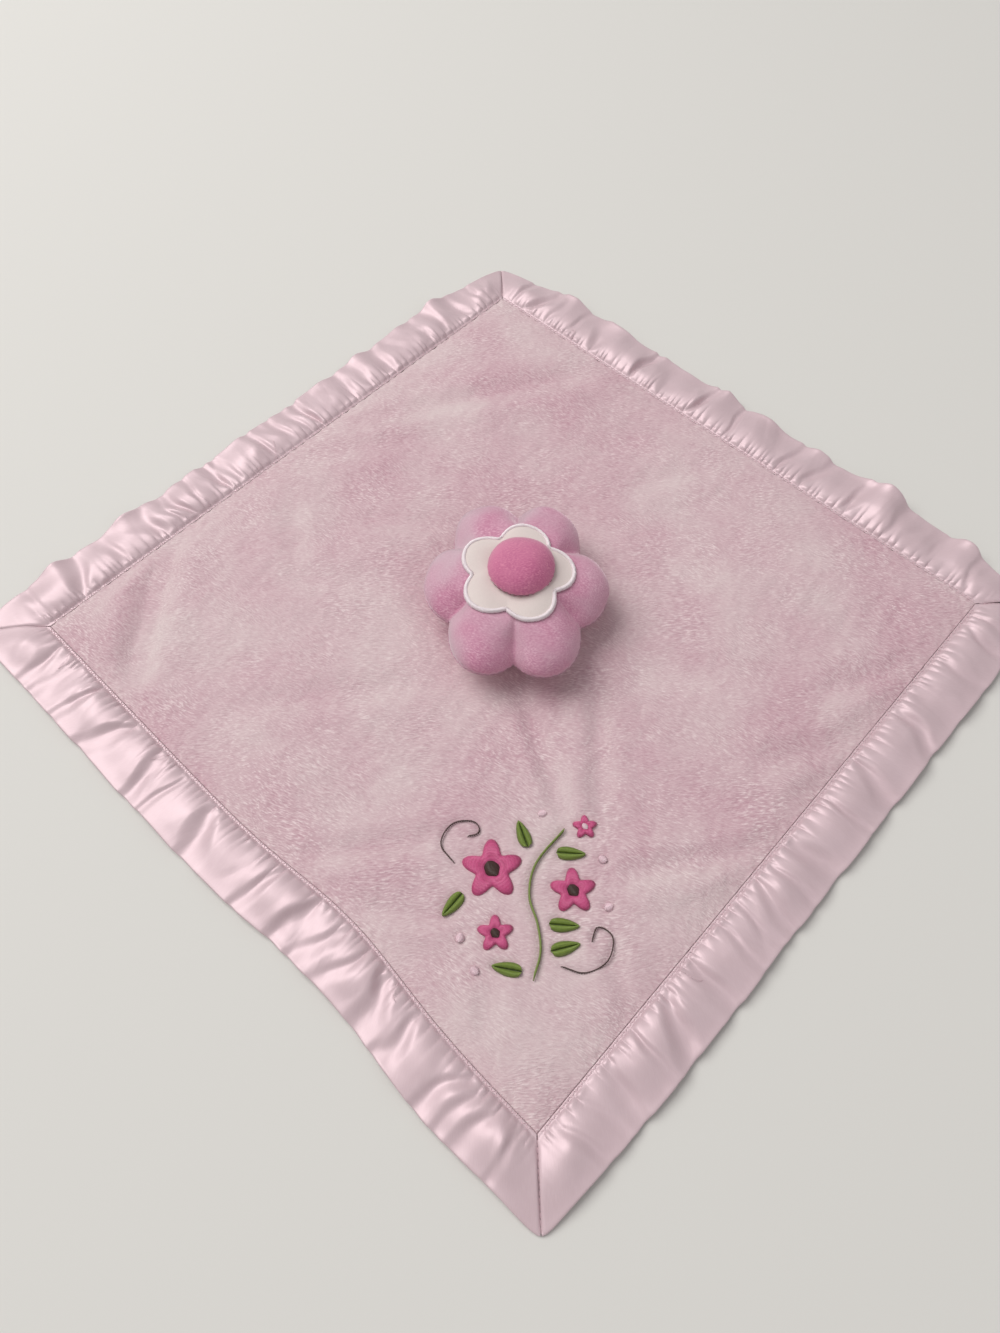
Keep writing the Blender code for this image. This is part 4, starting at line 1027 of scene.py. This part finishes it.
def under_row(share, inset, plain=False):
    """A ring of the underside at a share of the way out, drawn in by inset."""
    outline = petal_outline(inset)
    low = mouth_up + under_slope * outline * share
    up = low + (seam_up - mouth_up - under_slope * outline) * share**3.5 + inset * (1 - share**6)
    near_seam = np.exp(-(((seam_up - up) / 0.0020) ** 2))
    return ring_at(drawn_in(outline * share, near_seam, plain), petal_angles, up, stretch)


def hollow_rows(inset):
    """The hollow over the shank, from its mouth in the underside up to its pole."""
    radius = hollow_radius + inset
    mouth = mouth_up + under_slope * hollow_radius + inset
    profile = [(radius, mouth)]
    for degrees in range(0, 90, 9):
        a = math.radians(degrees)
        if radius * math.sin(a) > mouth:
            profile.append((radius * math.cos(a), radius * math.sin(a)))
    return [*(ring_at(reach, petal_angles, up) for reach, up in profile), np.array([[0, 0, radius]])]


def pole(up, x=0, y=0):
    """The one point in which rings come together."""
    return np.array([[x, y, up]])


def stacked(rings, up=0, middle=flower_middle):
    """Points and faces of a closed form of rings round a middle, from one pole to the other."""
    points = np.concatenate(rings) + middle + (0, 0, pivot_z + up)
    faces, start = [], 0
    for ring, after in zip(rings, rings[1:]):
        here, there = len(ring), len(after)
        i = np.arange(max(here, there))
        j = (i + 1) % len(i)
        if here == 1:
            part = np.stack([np.full(there, start), start + 1 + i, start + 1 + j], -1)
        elif there == 1:
            part = np.stack([start + i, start + j, np.full(here, start + here)], -1)
        else:
            part = np.stack([start + i, start + j, start + here + j, start + here + i], -1)
        faces += part.tolist()
        start += here
    return points, faces


velour = pile_cloth("lilac_pink_velour", dye(198, 130, 159), dye(227, 177, 197), dye(200, 179, 187), 1.0,
                    clump=0.020, streak=0.0013, fibre=0.00052, patch=0.022, grain=2.2, depth=0.00020)
stuffing_fibre = fibre_fabric("white_stuffing", dye(222, 222, 218), dye(246, 246, 244), 0.0020, 0.0008)

top_shares = 1 - (1 - np.linspace(0, 1, 62)[1:]) ** 2
outer = [petal_row(share, 0) for share in top_shares]
inner = [petal_row(share, cover_thickness) for share in top_shares[::2]]
peaks = [pole(row[:, 2].mean()) for row in (outer[0], inner[0])]
points, faces = stacked([peaks[0], *outer, *reversed(inner), peaks[1]], gap / 2)
top_cover = sew("flower_top_velour", points, faces, velour, "flower", ["flower_top_cover"])

under_shares = np.sqrt(np.linspace((hollow_radius * 1.25 / 0.0323) ** 2, 1, 40))
outer = [*reversed(hollow_rows(0)), *(under_row(share, 0) for share in under_shares)]
inner = [under_row(share, cover_thickness) for share in under_shares[::-2]]
points, faces = stacked([*outer, *inner, *hollow_rows(cover_thickness)], -gap / 2)
under_cover = sew("flower_under_velour", points, faces, velour, "flower",
                  ["flower_under_cover"])

stuffing_inset = cover_thickness + 2 * gap
rows = [petal_row(share, stuffing_inset, plain=True) for share in top_shares[::3]]
rows += [under_row(share, stuffing_inset, plain=True) for share in under_shares[-4::-3]]
points, faces = stacked([pole(rows[0][:, 2].mean()), *rows, *hollow_rows(stuffing_inset)])
stuffing = sew("flower_stuffing_fibre", points, faces, stuffing_fibre, "flower",
               ["flower_stuffing"])

# Small stitches in the groove of the side seam hold both covers together.
petal_thread = thread_stuff("lilac_sewing_thread", dye(192, 134, 160), dye(222, 174, 194), roughness=0.6)
def stitch_round(count, share, t):
    """Angles along count stitches of a round seam, each as long as that share of its pace."""
    return (np.arange(count) / count * math.tau)[:, None] + t[None] * math.tau / count * share


t = np.linspace(0, 1, 6)
angle = stitch_round(seam_stitches, 0.72, t)
reach = lobed_reach(angle, petals, flower_turn, flower_width / 2, petal_radius)
lines = ring_at(reach - seam_inset + seam_thread_out, angle, pivot_z + seam_up, stretch) + flower_middle
stitched("petal_seam_stitches", lines, seam_thread, petal_thread, "flower",
         ["petal_seam_thread"])

# A white felt shape with five petals lies on top of the flower. A dense satin stitch in glossy white
# thread covers its cut edge and holds it down.
felt_shape = {"lobes": 5, "turn": math.radians(2.4), "reach": 0.026, "radius": 0.0112, "soft": 0.05}
applique_forward = 0.0010
felt_thickness, felt_plump = 0.0008, 0.00075
border_width, border_out, border_ragged, border_pitch = 0.0013, 0.00035, 0.00012, 0.00034
border_rise, border_thread, border_lift = 0.00050, 0.00019, 0.00012
felt = fibre_fabric("white_felt", dye(218, 204, 200), dye(235, 223, 219), 0.0007, 0.00012)
white_thread = thread_stuff("glossy_white_thread", dye(244, 228, 233), dye(255, 250, 252), roughness=0.3)


def felt_low(x, y):
    """Underside of the felt: it follows the tops of the petals under it."""
    share = np.hypot(x, y / stretch) * 2 / flower_width
    up = seam_up + swell * dome_share(share)
    return up + lumps(x, y, up) + gap


outline_angles = np.arange(240) / 240 * math.tau
felt_outline = lobed_reach(outline_angles, **felt_shape)
rings = {"low": [], "top": []}
for share in np.linspace(0.04, 1, 26):
    x = felt_outline * share * np.cos(outline_angles)
    y = felt_outline * share * np.sin(outline_angles) - applique_forward
    plump = felt_plump * math.sin(math.pi * min(max((share - 0.45) / 0.52, 0), 1))
    low = felt_low(x, y)
    rings["low"].append(np.stack([x, y, low], -1))
    rings["top"].append(np.stack([x, y, low + felt_thickness + plump], -1))
poles = [pole(rings[face][0][:, 2].mean(), y=-applique_forward) for face in ("low", "top")]
points, faces = stacked([poles[0], *rings["low"], *reversed(rings["top"]), poles[1]], gap / 2)
applique = sew("white_petal_felt", points, faces, felt, "flower", ["flower_applique"])

fine = np.linspace(0, math.tau, 4001)
fine_reach = lobed_reach(fine, **felt_shape)
fine_line = np.stack([fine_reach * np.cos(fine), fine_reach * np.sin(fine) - applique_forward], -1)
fine_length = lengths_along(fine_line)
stitch_count = round(fine_length[-1] / border_pitch)
at = np.arange(stitch_count) / stitch_count * fine_length[-1]


def outline_spot(where):
    return spot_on(fine_line, fine_length, where % fine_length[-1])


run = outline_spot(at + 0.0006) - outline_spot(at - 0.0006)
run /= np.linalg.norm(run, axis=1, keepdims=True)
inward = np.stack([-run[:, 1], run[:, 0]], -1)
ragged = np.random.RandomState(52).uniform(-border_ragged, border_ragged, (stitch_count, 2))
starts = outline_spot(at) - inward * (border_out + ragged[:, :1])
ends = outline_spot(at) + inward * (border_width + ragged[:, 1:])
t = np.linspace(0, 1, 7)
plan = starts[:, None] + (ends - starts)[:, None] * t[None, :, None]
ground = felt_low(plan[..., 0], plan[..., 1]) + gap / 2
arch = border_rise * np.sin(math.pi * np.clip(t * 1.02, 0, 1)) ** 0.6
over = felt_thickness * ease((t - 0.05) / 0.25) + arch
lines = np.concatenate([plan, (ground + over + border_lift)[..., None]], -1) + flower_middle
stitched("applique_border_stitches", lines + (0, 0, pivot_z), border_thread, white_thread, "flower",
         ["applique_edge_stitching"])

# The middle is a ball of deep pink velour, gathered under its edge over stuffing of its own and sewn
# down on the felt by hand.
ball_radius, ball_height, ball_cover, ball_right = 0.0153, 0.0103, 0.0009, 0.0022
ball_tuck, ball_tuck_reach = 0.0011, 0.0030
gather_depth, gather_reach, gather_count = 0.00035, 0.0022, 13
hand_stitches, hand_thread, hand_arch, hand_inset = 34, 0.00014, 0.0003, 0.0010
ball_middle = flower_middle + (ball_right, 0, 0)
ball_base = seam_up + swell + 1.5 * gap + felt_thickness + gap
ball_velour = pile_cloth("deep_pink_velour", dye(194, 104, 144), dye(221, 141, 170), dye(209, 134, 162),
                         0.8, clump=0.014, streak=0.0012, fibre=0.00050, patch=0.016, grain=2.2,
                         depth=0.00020)
ball_angles = np.arange(160) / 160 * math.tau


def ball_rows(inset):
    """Rings of the ball from its gathered edge up, drawn in by inset."""
    rows = []
    gathers = gather_depth * abs(np.sin(ball_angles * gather_count + 0.5 * np.sin(3 * ball_angles)))
    for a in np.linspace(0, math.pi / 2, 34)[:-1]:
        up = (ball_height - inset) * math.sin(a)
        tucked = ball_tuck * (1 - min(up / ball_tuck_reach, 1)) ** 2
        radius = (ball_radius - inset) * math.cos(a) ** 0.92 - tucked
        x, y = radius * np.cos(ball_angles), radius * np.sin(ball_angles)
        uneven = 0.00020 * mottle(x, y, 0.008, 53, 12) * min(up / 0.003, 1)
        ring = radius - gathers * math.exp(-up / gather_reach) + uneven
        rows.append(ring_at(ring, ball_angles, ball_base + up + uneven))
    return rows


outer, inner, filled = (ball_rows(inset) for inset in (0, ball_cover, ball_cover + gap))
poles = [pole(rows[-1][:, 2].mean() + 0.00002) for rows in (outer, inner)]
points, faces = stacked([poles[1], *reversed(inner), *outer, poles[0]], middle=ball_middle)
ball = sew("centre_ball_velour", points, faces, ball_velour, "flower",
           ["flower_centre_cover"])
points, faces = stacked([pole(ball_base), *filled, pole(filled[-1][:, 2].mean())], middle=ball_middle)
ball_stuffing = sew("centre_ball_stuffing", points, faces, stuffing_fibre, "flower",
                    ["flower_centre_stuffing"])

ball_thread = thread_stuff("deep_pink_sewing_thread", dye(180, 84, 128), dye(206, 118, 156), roughness=0.6)
t = np.linspace(0, 1, 6)
arch = hand_arch * np.sin(math.pi * t)
angle = stitch_round(hand_stitches, 0.55, t)
lines = ring_at(ball_radius - hand_inset + arch, angle, ball_base + 0.0001 + arch)
stitched("centre_hand_stitches", lines + ball_middle + (0, 0, pivot_z), hand_thread, ball_thread, "flower",
         ["centre_seam_thread"])

# The stage is a plain pale floor under soft studio light. The key light comes from the upper left,
# as the shadows in the folds show.
floor_mesh = bpy.data.meshes.new("floor")
floor_mesh.from_pydata([(-8, -8, 0), (8, -8, 0), (8, 8, 0), (-8, 8, 0)], [], [(0, 1, 2, 3)])
floor = bpy.data.objects.new("floor", floor_mesh)
bpy.context.scene.collection.objects.link(floor)
floor_paint = bpy.data.materials.new("pale_floor")
floor_paint.use_nodes = True
floor_tree = floor_paint.node_tree
floor_shader = floor_tree.nodes["Principled BSDF"]
floor_shader.inputs["Base Color"].default_value = dye(222, 220, 216)
floor_shader.inputs["Roughness"].default_value = 0.9
room_colour, room_seen = (1.0, 0.99, 0.98, 1), 0.60

# Far from the blanket, where no lamp reaches, the floor is seen to fade into the room behind it.
floor_spot = node(floor_tree, "ShaderNodeTexCoord").outputs["Object"]
floor_reach = node(floor_tree, "ShaderNodeVectorMath", {0: floor_spot}, operation="LENGTH")
floor_far = between(floor_tree, floor_reach.outputs["Value"], 0.9, 3.0)
floor_seen = node(floor_tree, "ShaderNodeLightPath").outputs["Is Camera Ray"]
floor_haze = node(floor_tree, "ShaderNodeEmission", {"Color": room_colour, "Strength": room_seen})
floor_mix = node(floor_tree, "ShaderNodeMixShader", {
    0: maths(floor_tree, "MULTIPLY", floor_far, floor_seen),
    1: floor_shader.outputs[0], 2: floor_haze.outputs[0]})
floor_tree.links.new(floor_mix.outputs[0], floor_tree.nodes["Material Output"].inputs["Surface"])
floor_mesh.materials.append(floor_paint)

# The room round it is seen a little paler than it lights the blanket.
world = bpy.data.worlds.new("studio")
world.use_nodes = True
room = world.node_tree
room_light = room.nodes["Background"]
room_light.inputs["Color"].default_value = room_colour
room_light.inputs["Strength"].default_value = 0.36
room_view = node(room, "ShaderNodeBackground", {"Color": room_colour, "Strength": room_seen})
path = node(room, "ShaderNodeLightPath").outputs
mirrored = maths(room, "MAXIMUM", path["Is Glossy Ray"], path["Is Transmission Ray"])
seen = maths(room, "MAXIMUM", path["Is Camera Ray"], mirrored)
shown = node(room, "ShaderNodeMixShader", {0: seen, 1: room_light.outputs[0], 2: room_view.outputs[0]})
room.links.new(shown.outputs[0], room.nodes["World Output"].inputs["Surface"])
bpy.context.scene.world = world


def soft_lamp(name, place, size, watts, tint):
    lamp = bpy.data.lights.new(name, "AREA")
    lamp.size, lamp.energy, lamp.color = size, watts, tint
    made = bpy.data.objects.new(name, lamp)
    bpy.context.scene.collection.objects.link(made)
    made.location = place
    made.rotation_euler = (-Vector(place)).to_track_quat("-Z", "Y").to_euler()


soft_lamp("key_lamp", (-1.6, 0.9, 2.5), 2.2, 74.0, (1.0, 0.99, 0.97))
soft_lamp("fill_lamp", (1.6, -1.2, 2.0), 2.0, 5.0, (0.97, 0.98, 1.0))

# The camera stands where the photograph was taken from.
camera_place = Vector((-0.01252, -0.22783, 0.368))
camera_forward = Vector((0.0108, 0.4817, -0.8763))
camera_roll = math.radians(-0.31)
camera_data = bpy.data.cameras.new("camera")
camera_data.lens, camera_data.sensor_width = 24.78, 36.0
camera = bpy.data.objects.new("camera", camera_data)
bpy.context.scene.collection.objects.link(camera)
camera.matrix_world = (Matrix.Translation(camera_place)
                       @ camera_forward.to_track_quat("-Z", "Y").to_matrix().to_4x4()
                       @ Matrix.Rotation(camera_roll, 4, "Z"))
bpy.context.scene.camera = camera
bpy.context.scene.view_settings.view_transform = "Standard"
